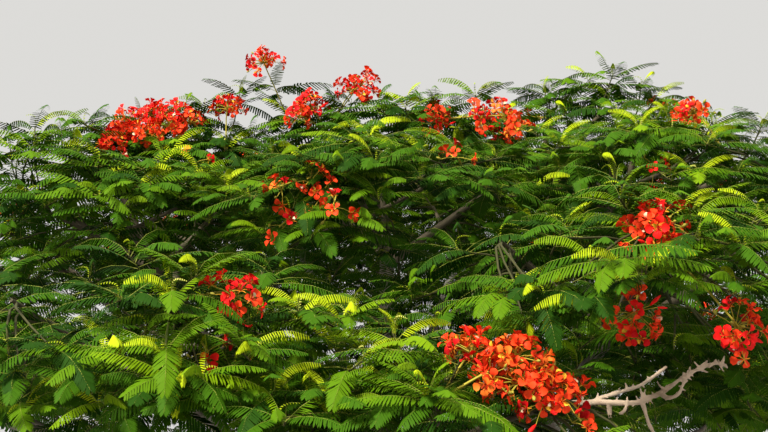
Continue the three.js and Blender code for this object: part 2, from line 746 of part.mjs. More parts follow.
const limbCapsules = [...limbs, dead.limb].flatMap((limb) => [...limb.capsules, ...(limb.extra ?? [])]);
for (const mass of masses) {
  const others = masses.filter((other) => other !== mass);
  const stems = others.map(({ limb }) => {
    const tip = limb.curve.getPoint(1);
    const head = tip.clone().addScaledVector(limb.curve.getTangent(1), STEM_LENGTH);
    return { a: tip, b: head, radius: BOUGH_TIP_RADIUS };
  });
  place(`foliage_${mass.name}`, growMass(mass, [...limbCapsules, ...stems]), foliage);
}

export default tree;
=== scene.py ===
# A flame tree in bloom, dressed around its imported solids.
# Metres, +Z up. Masses, limbs and twigs follow the same seeded rule as the solids, carried to finer twigs.
import json
import math
from types import SimpleNamespace

import bmesh
import bpy
import numpy as np
from mathutils import Matrix, Quaternion, Vector

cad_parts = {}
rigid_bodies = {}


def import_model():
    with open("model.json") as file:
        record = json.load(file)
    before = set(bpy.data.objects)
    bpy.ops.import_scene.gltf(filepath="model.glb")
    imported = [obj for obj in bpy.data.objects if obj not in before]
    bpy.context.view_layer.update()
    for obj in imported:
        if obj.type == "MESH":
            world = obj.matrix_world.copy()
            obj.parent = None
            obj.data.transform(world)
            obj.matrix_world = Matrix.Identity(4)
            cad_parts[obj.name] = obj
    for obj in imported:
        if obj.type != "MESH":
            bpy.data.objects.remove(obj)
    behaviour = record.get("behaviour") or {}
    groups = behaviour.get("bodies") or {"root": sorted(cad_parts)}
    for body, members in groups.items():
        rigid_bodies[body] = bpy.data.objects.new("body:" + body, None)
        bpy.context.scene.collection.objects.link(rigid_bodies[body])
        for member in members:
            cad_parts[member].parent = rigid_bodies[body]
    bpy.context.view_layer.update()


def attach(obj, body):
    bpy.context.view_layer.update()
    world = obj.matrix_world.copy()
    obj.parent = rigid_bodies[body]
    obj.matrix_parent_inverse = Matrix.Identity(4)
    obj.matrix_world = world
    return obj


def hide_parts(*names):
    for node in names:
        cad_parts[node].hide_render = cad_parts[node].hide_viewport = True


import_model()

UP = Vector((0, 0, 1))
GOLDEN_TURN = 137.508
SUN_WAY = Vector((0.5, 0.72, -0.85))
FLOOR_SIZE = 120

# Camera
CAMERA_PLACE = (0.0, -10.4, 4.2)
CAMERA_TILT = 9.8
CAMERA_LENS = 55
CAMERA_SENSOR = 36

# Trunk
TRUNK_HEIGHT = 1.98
TRUNK_RADIUS = 0.262
TRUNK_LEAN = 0.07
TRUNK_BOW = 0.035
TRUNK_TAPER = 0.1
FLARE_SPREAD = 0.185
FLARE_HEIGHT = 0.26
BUTTRESSES = 5
BUTTRESS_DEPTH = 0.17
BUTTRESS_HEIGHT = 0.416
BUTTRESS_TURN = 34
FORK_HEIGHT = 1.72
FORK_SWELL = 0.06
HEAD_ROUNDING = 0.3
HEAD_FLAT = 0.45
BELOW_GROUND = 0.08
TRUNK_RINGS = 60
TRUNK_SIDES = 40

# Boughs
BOUGH_FOOT_RADIUS = 0.128
BOUGH_TIP_RADIUS = 0.042
BRANCH_FOOT_SHARE = 0.74
BOUGH_SWAY = 0.07
LIMB_SEED = 5
LIMB_SAMPLES = 14
TAPER_POWER = 0.8
LINE_REACH = 0.36
LEADER_FOOT_HEIGHT = 1.88
BOUGH_FOOT_HEIGHT = 1.66
LIMB_RINGS = 40
LIMB_SIDES = 20
COLLAR = 0.3
COLLAR_LENGTH = 0.16
VOXEL = 0.027
SMOOTHINGS = 5
NEARLY_UPRIGHT = 0.95

# Which limb carries each mass's limb, how far along it, and how steeply it leaves and arrives
TRUNK = "trunk"
LEADER = "crest_1"
LIMB_PLAN = {
    "skirt_1": (TRUNK, 0, 50, 14), "skirt_3": (TRUNK, 0, 46, 12), "skirt_5": (TRUNK, 0, 50, 14),
    "skirt_7": (TRUNK, 0, 44, 12), "skirt_9": (TRUNK, 0, 50, 14), "crest_1": (TRUNK, 0, 84, 60),
    "skirt_2": ("skirt_3", 0.36, 30, 22), "skirt_4": ("skirt_5", 0.42, 24, 12),
    "skirt_6": ("skirt_7", 0.4, 24, 12), "skirt_8": ("skirt_9", 0.42, 24, 12),
    "skirt_10": ("skirt_1", 0.4, 24, 12), "apron": ("skirt_1", 0.66, 4, 4),
    "shoulder_1": ("skirt_1", 0.5, 62, 48), "shoulder_2": ("skirt_3", 0.52, 62, 48),
    "shoulder_3": ("skirt_3", 0.22, 66, 44), "shoulder_4": ("skirt_5", 0.3, 60, 44),
    "shoulder_5": ("skirt_5", 0.54, 62, 48), "shoulder_6": ("skirt_7", 0.3, 62, 46),
    "shoulder_7": ("skirt_9", 0.3, 60, 44), "shoulder_8": ("skirt_1", 0.26, 62, 44),
    "crest_2": (LEADER, 0.42, 56, 50), "crest_3": (LEADER, 0.56, 58, 52), "crest_4": (LEADER, 0.5, 58, 52),
    "crest_5": (LEADER, 0.34, 56, 50),
}

# The dead bough: where it leaves its limb, and the radius that leaves keep clear of
DEAD_AT = 0.8
DEAD_RADIUS = 0.034
# Its branches: foot and tip radius, and points. The first starts on the limb
DEAD_BRANCHES = [
    (
        0.031,
        0.0075,
        [
            (0.64, -3.96, 4.13), (0.909, -3.99, 4.258), (1.098, -4.07, 4.285), (1.275, -4.17, 4.281),
            (1.347, -4.2, 4.291), (1.452, -4.25, 4.341), (1.555, -4.31, 4.421), (1.68, -4.35, 4.476),
            (1.749, -4.36, 4.47),
        ],
    ),
    (
        0.014,
        0.008,
        [
            (1.1, -4.08, 4.282), (1.186, -4.06, 4.318), (1.278, -4.05, 4.345), (1.383, -4.05, 4.383),
            (1.52, -4.05, 4.476),
        ],
    ),
    (
        0.01,
        0.006,
        [
            (1.43, -4.24, 4.33), (1.467, -4.27, 4.305), (1.517, -4.3, 4.33), (1.546, -4.32, 4.401),
            (1.563, -4.315, 4.426),
        ],
    ),
    (0.012, 0.01, [(1.347, -4.2, 4.291), (1.363, -4.19, 4.239), (1.384, -4.18, 4.172), (1.41, -4.17, 4.126)]),
    (0.015, 0.012, [(1.188, -4.12, 4.285), (1.193, -4.11, 4.234), (1.194, -4.11, 4.182)]),
    (0.009, 0.006, [(1.278, -4.17, 4.28), (1.253, -4.19, 4.239), (1.225, -4.2, 4.224)]),
    (0.008, 0.005, [(1.607, -4.33, 4.448), (1.637, -4.34, 4.476), (1.663, -4.34, 4.494)]),
    (0.007, 0.005, [(1.347, -4.2, 4.293), (1.346, -4.2, 4.327), (1.342, -4.2, 4.356)]),
    (0.007, 0.005, [(1.363, -4.205, 4.3), (1.36, -4.21, 4.332), (1.366, -4.21, 4.354)]),
    (0.006, 0.004, [(1.46, -4.25, 4.345), (1.43, -4.25, 4.37), (1.418, -4.25, 4.395)]),
]
DEAD_SEED = 7
DEAD_STEPS = 40
DEAD_SIDES = 12
DEAD_TAPER = 0.45
DEAD_VOXEL = 0.005
KNOBS = 90
# The branches that the knobs stand on in turn, and where the first knob can be, on the limb and on a branch
KNOBBED = (0, 0, 0, 1, 2)
KNOBS_FROM = (0.4, 0.1)
KNOB_LENGTH_RANGE = (0.008, 0.045)
KNOB_RISE_RANGE = (-60, 80)
KNOB_RADIUS = 0.0058
KNOB_TAPER = (1.3, 1, 0.6)
KNOB_MIDDLE = 0.6
KNOB_SIDES = 6

# Masses of foliage
DOME_ACROSS = 1.35
DOME_UP = 0.68
STEM_LENGTH = 0.24
HUB_DROP = 0.32
HUB_INSET = 0.2
FIRST_SEED = 101
SEED_STEP = 17
# Each tier: name, count, half width, half depth, height, turn of the first, scale
TIERS = [
    ("skirt", 10, 4.48, 3.95, 4.6, 253, 1.0),
    ("shoulder", 8, 2.8, 2.35, 5.56, 271, 0.97),
    ("crest", 5, 1.72, 0.85, 6.13, 270, 0.94),
]
LIFTS = {
    "skirt_1": -0.06, "skirt_2": 0.3, "skirt_3": 0.12, "skirt_5": 0.17, "skirt_7": -0.15, "skirt_9": 0.13,
    "shoulder_2": 0.29, "shoulder_3": 0.26, "shoulder_5": 0.15, "shoulder_7": -0.06, "crest_1": 0.09,
    "crest_2": 0.29, "crest_3": 0.15,
}
LOW_MASS = ("apron", (0.32, -4.33, 4.08), 0.8)

# Twigs inside a mass
MAIN_TWIGS = 3
MAIN_REACH = 0.58
MAIN_SHELL = 0.5
MAIN_RADIUS = 0.032
SIDE_FROM = 0.48
SIDE_RADIUS = 0.018
TWIG_TIP_SHARE = 0.6
TWIG_SIDES = 8
SIDE_TURN = 60
SIDE_REACH = 0.66
TOP_REACH = 0.12
TOP_SHELL = 0.74
STEM_BACK = 0.06
TWIG_BORDER = 0.1
TWIG_LEAST = 0.16
LEAST_SHARE = 0.3
SHARE_STEP = 0.1
OUT_FROM_BELOW = 0.45
LIMB_CLEAR = 0.012
PARALLEL = 1e-12

# Blossom heads
HEAD_RADIUS = 0.155
HEAD_DIP = 0.018
HEAD_POINTS = 6
HEAD_HUB = 0.072
HEAD_BORDER = 0.004
# Turn in degrees, reach outwards and upwards in half sizes, how many flowers,
# and how orange they are, from 0 for crimson to 1
HEADS = {
    "crest_1": [
        (194, 0.82, 1.42, 15, 0.3), (225, 0.66, 0.67, 17, 0.2), (250, 0.53, 0.86, 15, 0.3),
        (294, 0.78, 0.38, 12, 0.5), (312, 0.9, 0.4, 16, 0.5),
    ],
    "crest_5": [(243, 0.78, 0.62, 18, 0.4), (264, 0.72, 0.68, 18, 0.4), (295, 0.64, 1.0, 16, 0.3)],
    "shoulder_1": [
        (234, 0.92, 0.06, 5, 0.6), (250, 0.9, 0.02, 3, 0.7), (233, 0.88, -0.3, 2, 0.7),
        (292, 0.78, 0.41, 3, 0.5),
    ],
    "shoulder_2": [(289, 0.46, 0.84, 13, 0.4), (260, 0.87, 0.03, 3, 0.4)],
    "skirt_1": [(301, 0.88, 0.39, 12, 0.1), (293, 0.94, -0.05, 2, 0.0)],
    "skirt_2": [(262, 0.78, 0.34, 16, 0.4), (256, 0.85, -0.32, 12, 0.3), (283, 0.81, -0.42, 15, 0.3)],
    "apron": [(286, 0.4, 0.86, 18, 0.65), (312, 0.62, 0.6, 16, 0.65), (324, 0.7, 0.2, 2, 0.45)],
}
# More flowers between them: x, y, z of each head, how many flowers it has, and how orange they are
MORE_HEADS = {
    "crest_5": [
        (-2.18, -1.25, 6.42, 16, 0.4), (-1.92, -1.05, 6.7, 16, 0.2), (-1.87, -1.3, 6.46, 16, 0.5),
        (-1.61, -1.05, 6.63, 14, 0.4), (-2.09, -1.15, 6.62, 10, 0.2), (-1.73, -1.1, 6.7, 9, 0.3),
    ],
    "crest_1": [(-0.69, -1.5, 6.55, 9, 0.3), (0.94, -1.75, 6.47, 16, 0.5), (-0.16, -1.5, 6.82, 8, 0.3)],
    "shoulder_1": [(-0.3, -3.58, 5.44, 3, 0.4), (-0.46, -3.5, 5.62, 3, 0.7)],
    "shoulder_2": [(0.99, -1.9, 6.36, 9, 0.6)],
    "skirt_2": [(1.36, -4.78, 5.17, 8, 0.3)],
    "apron": [
        (0.6, -4.88, 4.52, 16, 0.65), (0.62, -4.9, 4.4, 14, 0.6), (0.52, -4.9, 4.43, 10, 0.7),
        (0.85, -4.85, 4.33, 7, 0.3), (0.73, -4.85, 4.29, 6, 0.5),
    ],
}
SEEDED_HEADS = 2
HEAD_TRIES = 12
HEAD_REACH_RANGE = (0.1, 0.78)
HEAD_SHELL = 0.9
HEAD_FOOT_AT = 0.93
HEADS_APART = 0.62
FLOWERS_IN_HEAD = 14
# Masses whose seeded heads the photograph shows as a few flowers
FEWER_FLOWERS = {"shoulder_8": 2, "crest_2": 5}

# Finer twigs, each to a rosette of leaves
FINER_SEED = 4000
ROSETTES = 42
NEAR_ROSETTES = 54
NEAR_MASSES = ("skirt_1", "skirt_2", "apron", "shoulder_1", "shoulder_2")
ROSETTE_HEIGHTS = (0.99, -0.78)
ROSETTE_SHELL_RANGE = (0.55, 0.97)
# Lowest tone, of low sprays and of sprays on the limbs: it deals darker leaf tints, partly painted shade
SHADED_TONE = 0.55
COMMON_FRESHNESS = 0.22
ROSETTE_BORDER = 0.03
SHOOT_BACK = 0.34
SHOOT_AT_RANGE = (0.12, 0.98)
SHOOT_RADIUS = 0.009
SHOOT_TIP_RADIUS = 0.005
SHOOT_STEPS = 3
SHOOT_SIDES = 4
BEND_ALONG = 0.55
BEND_OUT = 0.45
BEND_AT = 0.45
FACING_UP = 2.3
FACING_WAY = 0.25

# Sprays whose place the photograph shows: x, y, z, and how much of each is fresh growth
KNOWN_SPRAYS = {
    "skirt_1": [
        (-1.25, -4.92, 4.74, 0.8), (-1.0, -4.86, 4.76, 0.7), (-1.48, -4.96, 4.47, 0.6),
        (-1.26, -4.96, 4.46, 0.8), (-0.97, -4.8, 4.28, 0.8), (-1.68, -4.86, 4.35, 0.6),
        (-0.42, -4.6, 4.72, 0.8), (-0.2, -4.62, 4.66, 0.8), (-0.64, -4.78, 4.52, 0.3),
        (-1.3, -4.68, 4.94, 0.3), (-0.56, -4.62, 4.34, 0.3), (-1.33, -4.82, 4.24, 0.3),
        (-1.75, -4.66, 4.19, 0.4), (-0.23, -4.4, 4.5, 0.7), (-1.83, -4.4, 4.22, 0.1),
        (-1.27, -4.2, 4.22, 0.1), (-0.94, -4.3, 4.24, 0.1), (-0.62, -4.4, 4.2, 0.1), (-1.05, -4.3, 4.42, 0.1),
        (-0.78, -4.4, 4.37, 0.1), (0.03, -3.6, 4.71, 0.1), (-0.98, -5.14, 4.45, 0.3),
        (-0.81, -5.06, 4.35, 0.4), (-0.61, -5.0, 4.46, 0.3), (-1.01, -5.06, 4.28, 0.3),
        (-0.78, -4.92, 4.22, 0.2), (-0.67, -4.86, 4.26, 0.2), (-0.94, -5.08, 4.34, 0.7),
    ],
    "apron": [
        (-0.52, -4.96, 4.31, 0.3), (-0.44, -5.16, 4.17, 0.2), (0.04, -4.8, 4.6, 0.9), (0.23, -4.6, 4.6, 0.5),
        (0.2, -5.2, 4.28, 0.2), (-0.25, -5.0, 4.28, 0.3), (-0.1, -4.95, 4.46, 0.7), (1.25, -3.95, 4.23, 0.1),
        (1.35, -4.0, 4.13, 0.1),
    ],
    "skirt_2": [
        (1.23, -4.92, 4.87, 0.6), (0.85, -4.76, 4.81, 0.6), (1.2, -4.9, 4.79, 0.5), (0.73, -4.5, 4.6, 0.7),
        (0.98, -4.84, 4.91, 0.5), (1.49, -4.92, 5.03, 0.3), (1.71, -4.9, 4.99, 0.3), (0.5, -4.4, 5.06, 0.2),
        (1.18, -4.64, 5.28, 0.2), (0.86, -4.64, 4.63, 0.3), (1.28, -4.0, 4.57, 0.1), (1.47, -3.9, 4.6, 0.1),
        (1.69, -3.9, 4.5, 0.1), (1.06, -4.0, 4.57, 0.1), (1.47, -3.6, 4.46, 0.1), (1.76, -3.6, 4.39, 0.1),
        (1.95, -4.0, 4.4, 0.1), (1.7, -3.8, 4.3, 0.1), (1.48, -3.8, 4.26, 0.1), (1.42, -3.4, 4.2, 0.1),
        (1.62, -3.3, 4.17, 0.1), (1.8, -3.2, 4.2, 0.1), (1.95, -3.5, 4.14, 0.1), (2.2, -3.6, 4.14, 0.1),
        (0.38, -3.6, 4.76, 0.1), (0.28, -3.2, 4.92, 0.1), (0.3, -4.0, 4.68, 0.1), (0.47, -3.2, 5.11, 0.1),
        (2.2, -3.1, 4.3, 0.1), (2.1, -3.4, 4.28, 0.1), (1.95, -4.1, 4.24, 0.1), (0.61, -4.72, 4.74, 0.3),
        (0.76, -4.84, 4.76, 0.3), (0.92, -4.9, 4.7, 0.3), (1.09, -5.02, 4.88, 0.3), (0.96, -4.98, 4.92, 0.4),
    ],
    "skirt_3": [
        (2.55, -2.4, 4.3, 0.1), (2.7, -2.75, 4.3, 0.1), (2.65, -2.0, 4.3, 0.1), (2.5, -2.6, 4.5, 0.1),
        (2.75, -1.5, 4.26, 0.1), (2.5, -2.2, 4.22, 0.1), (2.95, -2.5, 4.16, 0.1), (2.5, -2.0, 4.14, 0.1),
        (2.35, -2.5, 4.15, 0.1),
    ],
    "skirt_4": [(3.1, 0.1, 4.15, 0.1), (3.3, -0.3, 4.2, 0.1)],
    "skirt_5": [
        (3.35, 2.2, 4.32, 0.1), (3.9, 2.4, 4.28, 0.1), (3.16, 3.2, 4.35, 0.1), (3.2, 2.6, 4.24, 0.1),
        (3.5, 2.9, 4.26, 0.1), (2.9, 2.5, 4.28, 0.1), (3.0, 1.9, 4.3, 0.1), (2.65, 3.1, 4.34, 0.1),
        (3.7, 1.9, 4.24, 0.1), (2.6, 2.9, 4.24, 0.1), (2.8, 2.4, 4.18, 0.1), (3.1, 2.9, 4.14, 0.1),
        (3.5, 1.6, 4.15, 0.1),
    ],
    "skirt_6": [(2.1, 3.5, 4.3, 0.1), (2.3, 3.2, 4.3, 0.1), (1.9, 3.1, 4.26, 0.1)],
    "shoulder_1": [
        (-0.08, -3.16, 5.98, 0.9), (0.22, -3.5, 5.61, 0.2), (0.1, -3.46, 5.74, 0.3), (0.71, -3.32, 5.52, 0.1),
        (0.1, -2.9, 5.01, 0.1), (-0.03, -3.0, 5.19, 0.1), (-0.84, -3.18, 5.55, 0.2),
        (-0.57, -3.36, 5.45, 0.2), (-0.32, -3.5, 5.49, 0.3), (-0.19, -3.44, 5.34, 0.1),
        (-0.45, -3.3, 5.28, 0.2), (-0.77, -3.12, 5.33, 0.2), (-1.05, -2.82, 5.68, 0.3),
        (-0.23, -3.52, 5.61, 0.4), (-0.52, -3.34, 5.77, 0.4), (-0.05, -3.52, 5.7, 0.3),
    ],
    "shoulder_2": [
        (1.75, -2.62, 6.14, 0.7), (1.95, -2.66, 6.13, 0.7), (2.06, -2.78, 5.77, 0.6),
        (1.21, -2.48, 5.89, 0.2), (1.46, -2.66, 5.92, 0.2), (2.91, -1.6, 6.42, 0.3),
    ],
    "shoulder_8": [
        (-1.96, -2.48, 6.0, 0.6), (-1.38, -2.62, 5.77, 0.6), (-2.34, -2.78, 5.62, 0.3),
        (-1.73, -2.84, 5.51, 0.2), (-2.6, -1.9, 6.34, 0.3), (-2.68, -2.2, 6.12, 0.3),
        (-2.45, -2.4, 6.08, 0.2), (-2.6, -2.3, 5.95, 0.2), (-2.2, -2.3, 6.15, 0.3), (-2.1, -2.6, 5.95, 0.2),
        (-1.36, -2.74, 5.63, 0.2), (-1.61, -2.82, 5.68, 0.3), (-1.85, -2.9, 5.6, 0.2),
        (-1.26, -2.52, 5.85, 0.4), (-1.58, -2.64, 5.89, 0.3),
    ],
    "crest_1": [(0.16, -1.82, 6.51, 0.9), (0.72, -1.46, 6.71, 0.4)],
    "crest_2": [
        (1.8, -0.5, 7.1, 0.3), (2.22, -0.6, 7.02, 0.3), (1.92, -0.9, 7.04, 0.4), (1.39, -0.6, 6.96, 0.3),
        (2.27, -0.9, 6.84, 0.3), (2.67, -1.2, 6.52, 0.2),
    ],
    "crest_5": [
        (-1.69, -1.36, 6.27, 0.6), (-1.27, -1.28, 6.31, 0.6), (-2.34, -1.5, 6.46, 0.2),
        (-2.61, -1.2, 6.45, 0.2), (-1.54, -0.6, 6.84, 0.2), (-1.22, -0.8, 6.9, 0.3), (-2.02, -1.0, 6.64, 0.2),
        (-1.68, -0.8, 6.76, 0.2),
    ],
}
# Recesses of the crown that the photograph shows in shade. The sprays in front of them get painted shade,
# the darkest leaf tints, and some are missing: x, y, z, radius, and the share that is missing
RECESSES = [
    (0.48, -2.5, 5.4, 0.25, 0.75), (0.79, -2.5, 5.43, 0.25, 0.75), (0.52, -2.5, 5.18, 0.22, 0.75),
    (0.79, -2.5, 5.19, 0.2, 0.35), (-2.05, -2.8, 5.17, 0.25, 0.6), (-1.76, -2.8, 5.19, 0.25, 0.6),
    (-1.46, -2.8, 5.21, 0.25, 0.6), (-2.36, -2.8, 4.93, 0.3, 0.1), (-2.32, -2.8, 4.7, 0.3, 0.1),
    (-2.09, -2.8, 4.75, 0.25, 0.1), (0.43, -4.3, 4.23, 0.16, 0.5), (0.62, -4.3, 4.2, 0.16, 0.5),
]
RECESS_SEED = 700

# Hollows between the domes, and short shoots that stand on the limbs
HOLLOW_DOME = 1.4
HOLLOW_OUT = {"skirt": 0.2, "shoulder": 0.9, "crest": 0.7}
HOLLOW_SHOOTS = 26
HOLLOW_REACH_RANGE = (0.8, 1.3)
HOLLOW_RISE_RANGE = (-0.85, 0.9)
LIMB_SHOOTS = 4
LIMB_SHOOT_RANGE = (0.58, 0.98)
LIMB_SHOOT_RISE_RANGE = (25, 80)
LIMB_SHOOT_LENGTH_RANGE = (0.25, 0.6)
LIMB_SHOOT_SAG = 0.03

# Leaves of a rosette, from the youngest in the middle to the oldest outside. Ranges run from the first
# to the last, and SIZE_CHANCE is the least share of the size, and how much more it can be
LEAVES_IN_ROSETTE = 10
LEAVES_UNDER_HEAD = 6
UNDER_HEAD_AT = (0.5, 0.76)
UNDER_HEAD_FRESHNESS = 0.6
UNDER_HEAD_YOUNGEST = 0.4
TALL_HEAD = 1.5
OUT_OF_DOME = 0.3
LIFT_RANGE = (48, -9)
LIFT_POWER = 0.75
LEAF_SIZE_RANGE = (0.62, 1.05)
SIZE_POWER = 0.6
SIZE_CHANCE = (0.9, 0.2)
TURN_SPREAD = 20
LIFT_SPREAD = 16
ROLL_SPREAD = 30
LEAF_REACH = 0.47
# Where a leaf may turn when it has no room: more turn, more lift and how much of its size is left
LEAF_TRIES = [(0, 0, 1.0), (14, 10, 0.86), (-16, 24, 0.74), (8, 40, 0.62)]
LEAF_FOOT_BACK = 0.12
LEAF_DOME = 1.05
LEAF_BORDER = -0.12
LEAF_GIRTH = 0.03
LEAF_SAMPLES = (0.2, 0.45, 0.7, 1)
SPRAY_DEPTH = 0.05
TIP_DROP = 0.1
STEEP = 0.3
FAR_SIDE_SIZE = 1.14
# Ages of hooks and of young leaves, and how the fresh tint and the darker ones below it are dealt out:
# by age, by chance, and by the spray's tone, which carries painted shade
HOOK_AGE = 0.05
YOUNG_AGE = 0.25
FRESH_TINT = 4
FRESHEST = 0.42
FRESHER = 0.68
AGE_TINTS = 0.8
TONE_TINTS = 1.7
CHANCE_TINTS = 1.1

# What stays open in front of blossom and the dead bough, as the camera and the sun see them
FRONT = Vector(CAMERA_PLACE)
SUN_DISTANCE = 30
FROM_SUN = Vector(DEAD_BRANCHES[0][2][5]) - SUN_WAY * SUN_DISTANCE
SUNLIT_SHARE = 0.85
SEEN_SHARE = 0.9
SEEN_RADIUS = 0.13
SEEN_LITTLE_RADIUS = 0.1
SEEN_LITTLE = 6
DEAD_SEEN_RADIUS = 0.085
DEAD_SEEN_STEPS = 24
DEAD_SEEN_FROM = (0.25, 0, 0, 0)
BARE_FROM = 1.12

# Leaf shapes. Half widths along a pinna
NEAR_PINNA = [(0, 0.36), (0.72, 0.5), (1, 0)]
FAR_PINNA = [(0, 0.78), (1, 0.46)]
# Each make of leaf: its pinna, pairs of them and points along the stalk
LEAF_MAKES = [("near", NEAR_PINNA, 25, 5), ("far", FAR_PINNA, 17, 4)]
# Each shape: length, rise and droop of its arch, sideways sweep, pinna length, width and hang, share of pairs
SHAPES = [
    (0.46, 0.032, 0.03, 0.030, 0.088, 0.0108, 8, 1.0),
    (0.45, 0.030, 0.07, -0.050, 0.086, 0.0106, 15, 1.0),
    (0.47, 0.042, 0.05, 0.060, 0.084, 0.0108, 21, 1.0),
    (0.43, 0.036, 0.10, -0.020, 0.088, 0.0110, 12, 1.0),
    (0.40, 0.080, 0.04, 0.040, 0.072, 0.0086, 38, 0.95),
    (0.37, 0.085, 0.08, -0.050, 0.066, 0.0082, 48, 0.95),
    (0.20, 0.120, 0.02, 0.020, 0.022, 0.0070, 40, 0.5),
]
GROWN = (0, 1, 2, 3)
YOUNG = (4, 5)
HOOK = 6
# The arch: places along a leaf, and how much of its sweep and droop the last handle has
FIRST_HANDLE_AT = 0.34
LAST_HANDLE_AT = 0.72
TIP_AT = 0.97
HANDLE_SWEEP = 0.35
HANDLE_DROOP = 0.25
ARCH_STEPS = 12
STALK_RADIUS = 0.003
STALK_TIP_SHARE = 0.3
BARE_SHARE = 0.13
LAST_PAIR_AT = 0.985
PINNA_DROOP = 0.22
PINNA_ANGLES = (68, 38)
PINNA_LOOSENESS = 0.10
WIDEST_AT = 0.425
OUTLINE_POWER = 2.2
OUTLINE_DEPTH = 0.45
HANG_SEED = 7
SHAPE_SEED = 3
SHAPE_SEED_STEP = 11
TINT_TOLERANCE = 0.25

# Flowers. Sizes and reaches in pairs are the least one, and how much more it can be
BLOSSOM_SEED = 9000
FLOWER_SEED = 60
FLOWER_SHAPES = 4
SHAPE_DICE = 97
FLOWERS_PER_BUD = 2.5
BUD_EVERY = 4
# How flowers stand: loosely round their pedicels, more of them upwards
FLOWER_LOOSENESS = 1.3
LOOSE_MIDDLE = (0.5, 0.5, 0.35)
FLOWER_SIZE = (0.76, 0.28)
BUD_SIZE = (0.8, 0.5)
# The tint of a flower: above which throw it gets the dark crimson tint, partly its own colour and partly
# painted shade, and else how many tints the throw and the head add
CRIMSON_AND_SHADE_TINT = 3
CRIMSON_AND_SHADE_ABOVE = (0.75, 0.25)
THROW_TINTS = 1.4
HEAD_TINTS = 1.7
# A head: its base below the hub, its span, its reach at the crown and how much more at the rim, and sag
HEAD_SINK = 0.045
HEAD_SPAN = 96
HEAD_REACH = (0.088, 0.048)
HEAD_SAG = 0.025
HEAD_LIFT_SPREAD = 26
HEAD_TURN_SPREAD = 30
PEDICEL_REACH = (0.5, 0.72)
PEDICEL_BOW = 0.006
HEAD_STALK_RISE = 0.02
HEAD_STALK_BOW = 0.06
PETAL_LENGTH = 0.063
PETAL_WIDTH = 0.045
PETALS = 5
PETAL_TURN_SPREAD = 16
PETAL_LIFT = 24
PETAL_LIFT_SPREAD = 22
PETAL_TWIST_SPREAD = 30
PETAL_SIZE = (0.92, 0.16)
PETAL_CUP = 0.5
STANDARD_SHARES = (0.8, 0.52)
STANDARD_LIFT = 66
STANDARD_CUP = 0.9
# Along a petal: place, width, height
PETAL_OUTLINE = [(0, 0.09, 0), (0.4, 0.12, 0.1), (0.58, 0.82, 0.15), (0.82, 1, 0.1), (1, 0.5, -0.04)]
SEPAL_OUTLINE = [(0, 0.2, 0), (0.6, 0.3, 0.06), (1, 0.1, -0.12)]
SEPAL_SIZE = (0.036, 0.024)
SEPAL_TURN = 36
SEPAL_LIFT = 6
STAMENS = 8
STAMEN_RADIUS = 0.0016
STAMEN_TURN_SPREAD = 20
STAMEN_RISE = (52, 26)
STAMEN_LENGTH = (0.04, 0.012)
PETAL, STANDARD, SEPAL, STAMEN = range(4)
BUD_HEIGHTS = (0, 0.006, 0.016, 0.026, 0.031)
BUD_RADII = (0.0022, 0.0058, 0.0085, 0.0052, 0.0012)
BUD_SIDES = 6
OPENING_STRETCH = 1.9
HEAD_STALK_RADII = [0.008, 0.007, 0.006, 0.0055]
PEDICEL_RADII = [0.003, 0.0026, 0.0022]

# Which piece of the scene holds which masses' leaves
LEAF_PIECES = {
    "leaves_front_left": ("skirt_1",),
    "leaves_front_low": ("apron", "crest_1"),
    "leaves_front_right": ("skirt_2",),
    "leaves_front_high": ("shoulder_1",),
    "leaves_front_high_right": ("shoulder_2",),
    "leaves_front_sides": ("skirt_10", "skirt_3", "shoulder_8"),
    "leaves_high": ("crest_2", "crest_3", "crest_4", "crest_5"),
    "leaves_right": ("skirt_4", "skirt_5", "shoulder_3", "shoulder_4"),
    "leaves_left": ("skirt_9", "skirt_8", "shoulder_7", "shoulder_6"),
    "leaves_back": ("skirt_6", "skirt_7", "shoulder_5"),
}


def radians_way(turn):
    return math.cos(math.radians(turn)), math.sin(math.radians(turn))


def heading(turn):
    return Vector((*radians_way(turn), 0))


def slope(turn, rise):
    level, up = radians_way(rise)
    return heading(turn) * level + UP * up


def within(span, share):
    return span[0] + (span[1] - span[0]) * share


def seeded(seed):
    """Repeatable random numbers from 0 to 1, the same as the solids draw."""
    low_bits = 0xFFFFFFFF
    state = seed & low_bits

    def draw():
        nonlocal state
        state = (state + 0x6D2B79F5) & low_bits
        mixed = ((state ^ (state >> 15)) * (state | 1)) & low_bits
        mixed = ((mixed + (mixed ^ (mixed >> 7)) * (mixed | 61)) & low_bits) ^ mixed
        return ((mixed ^ (mixed >> 14)) & low_bits) / 4294967296

    return draw


def spread(width, random):
    """A random number around 0."""
    return width * (random() - 0.5)


def more_than(least, more, share):
    """The least value, and a share of how much more it can be."""
    return least + more * share


def even_steps(count):
    """Shares from 0 to 1 in even steps."""
    return [i / count for i in range(count + 1)]


# The masses and the flat borders between them


def dome_units(v):
    """A length in the metric of the dome, in which every mass is a ball."""
    return Vector((v.x / DOME_ACROSS, v.y / DOME_ACROSS, v.z / DOME_UP))


def lay_out_masses():
    masses = []
    for tier, count, across, deep, height, first, scale in TIERS:
        for i in range(count):
            name = f"{tier}_{i + 1}"
            turn = first + 360 * i / count
            way = heading(turn)
            centre = Vector((across * way.x, deep * way.y, height + LIFTS.get(name, 0)))
            masses.append(SimpleNamespace(name=name, turn=turn, centre=centre, scale=scale))
    name, place, scale = LOW_MASS
    turn = math.degrees(math.atan2(place[1], place[0]))
    masses.append(SimpleNamespace(name=name, turn=turn, centre=Vector(place), scale=scale))
    for index, mass in enumerate(masses):
        mass.seed = FIRST_SEED + SEED_STEP * index
        mass.across = DOME_ACROSS * mass.scale
        mass.up = DOME_UP * mass.scale
        set_borders(mass, masses)
    return masses


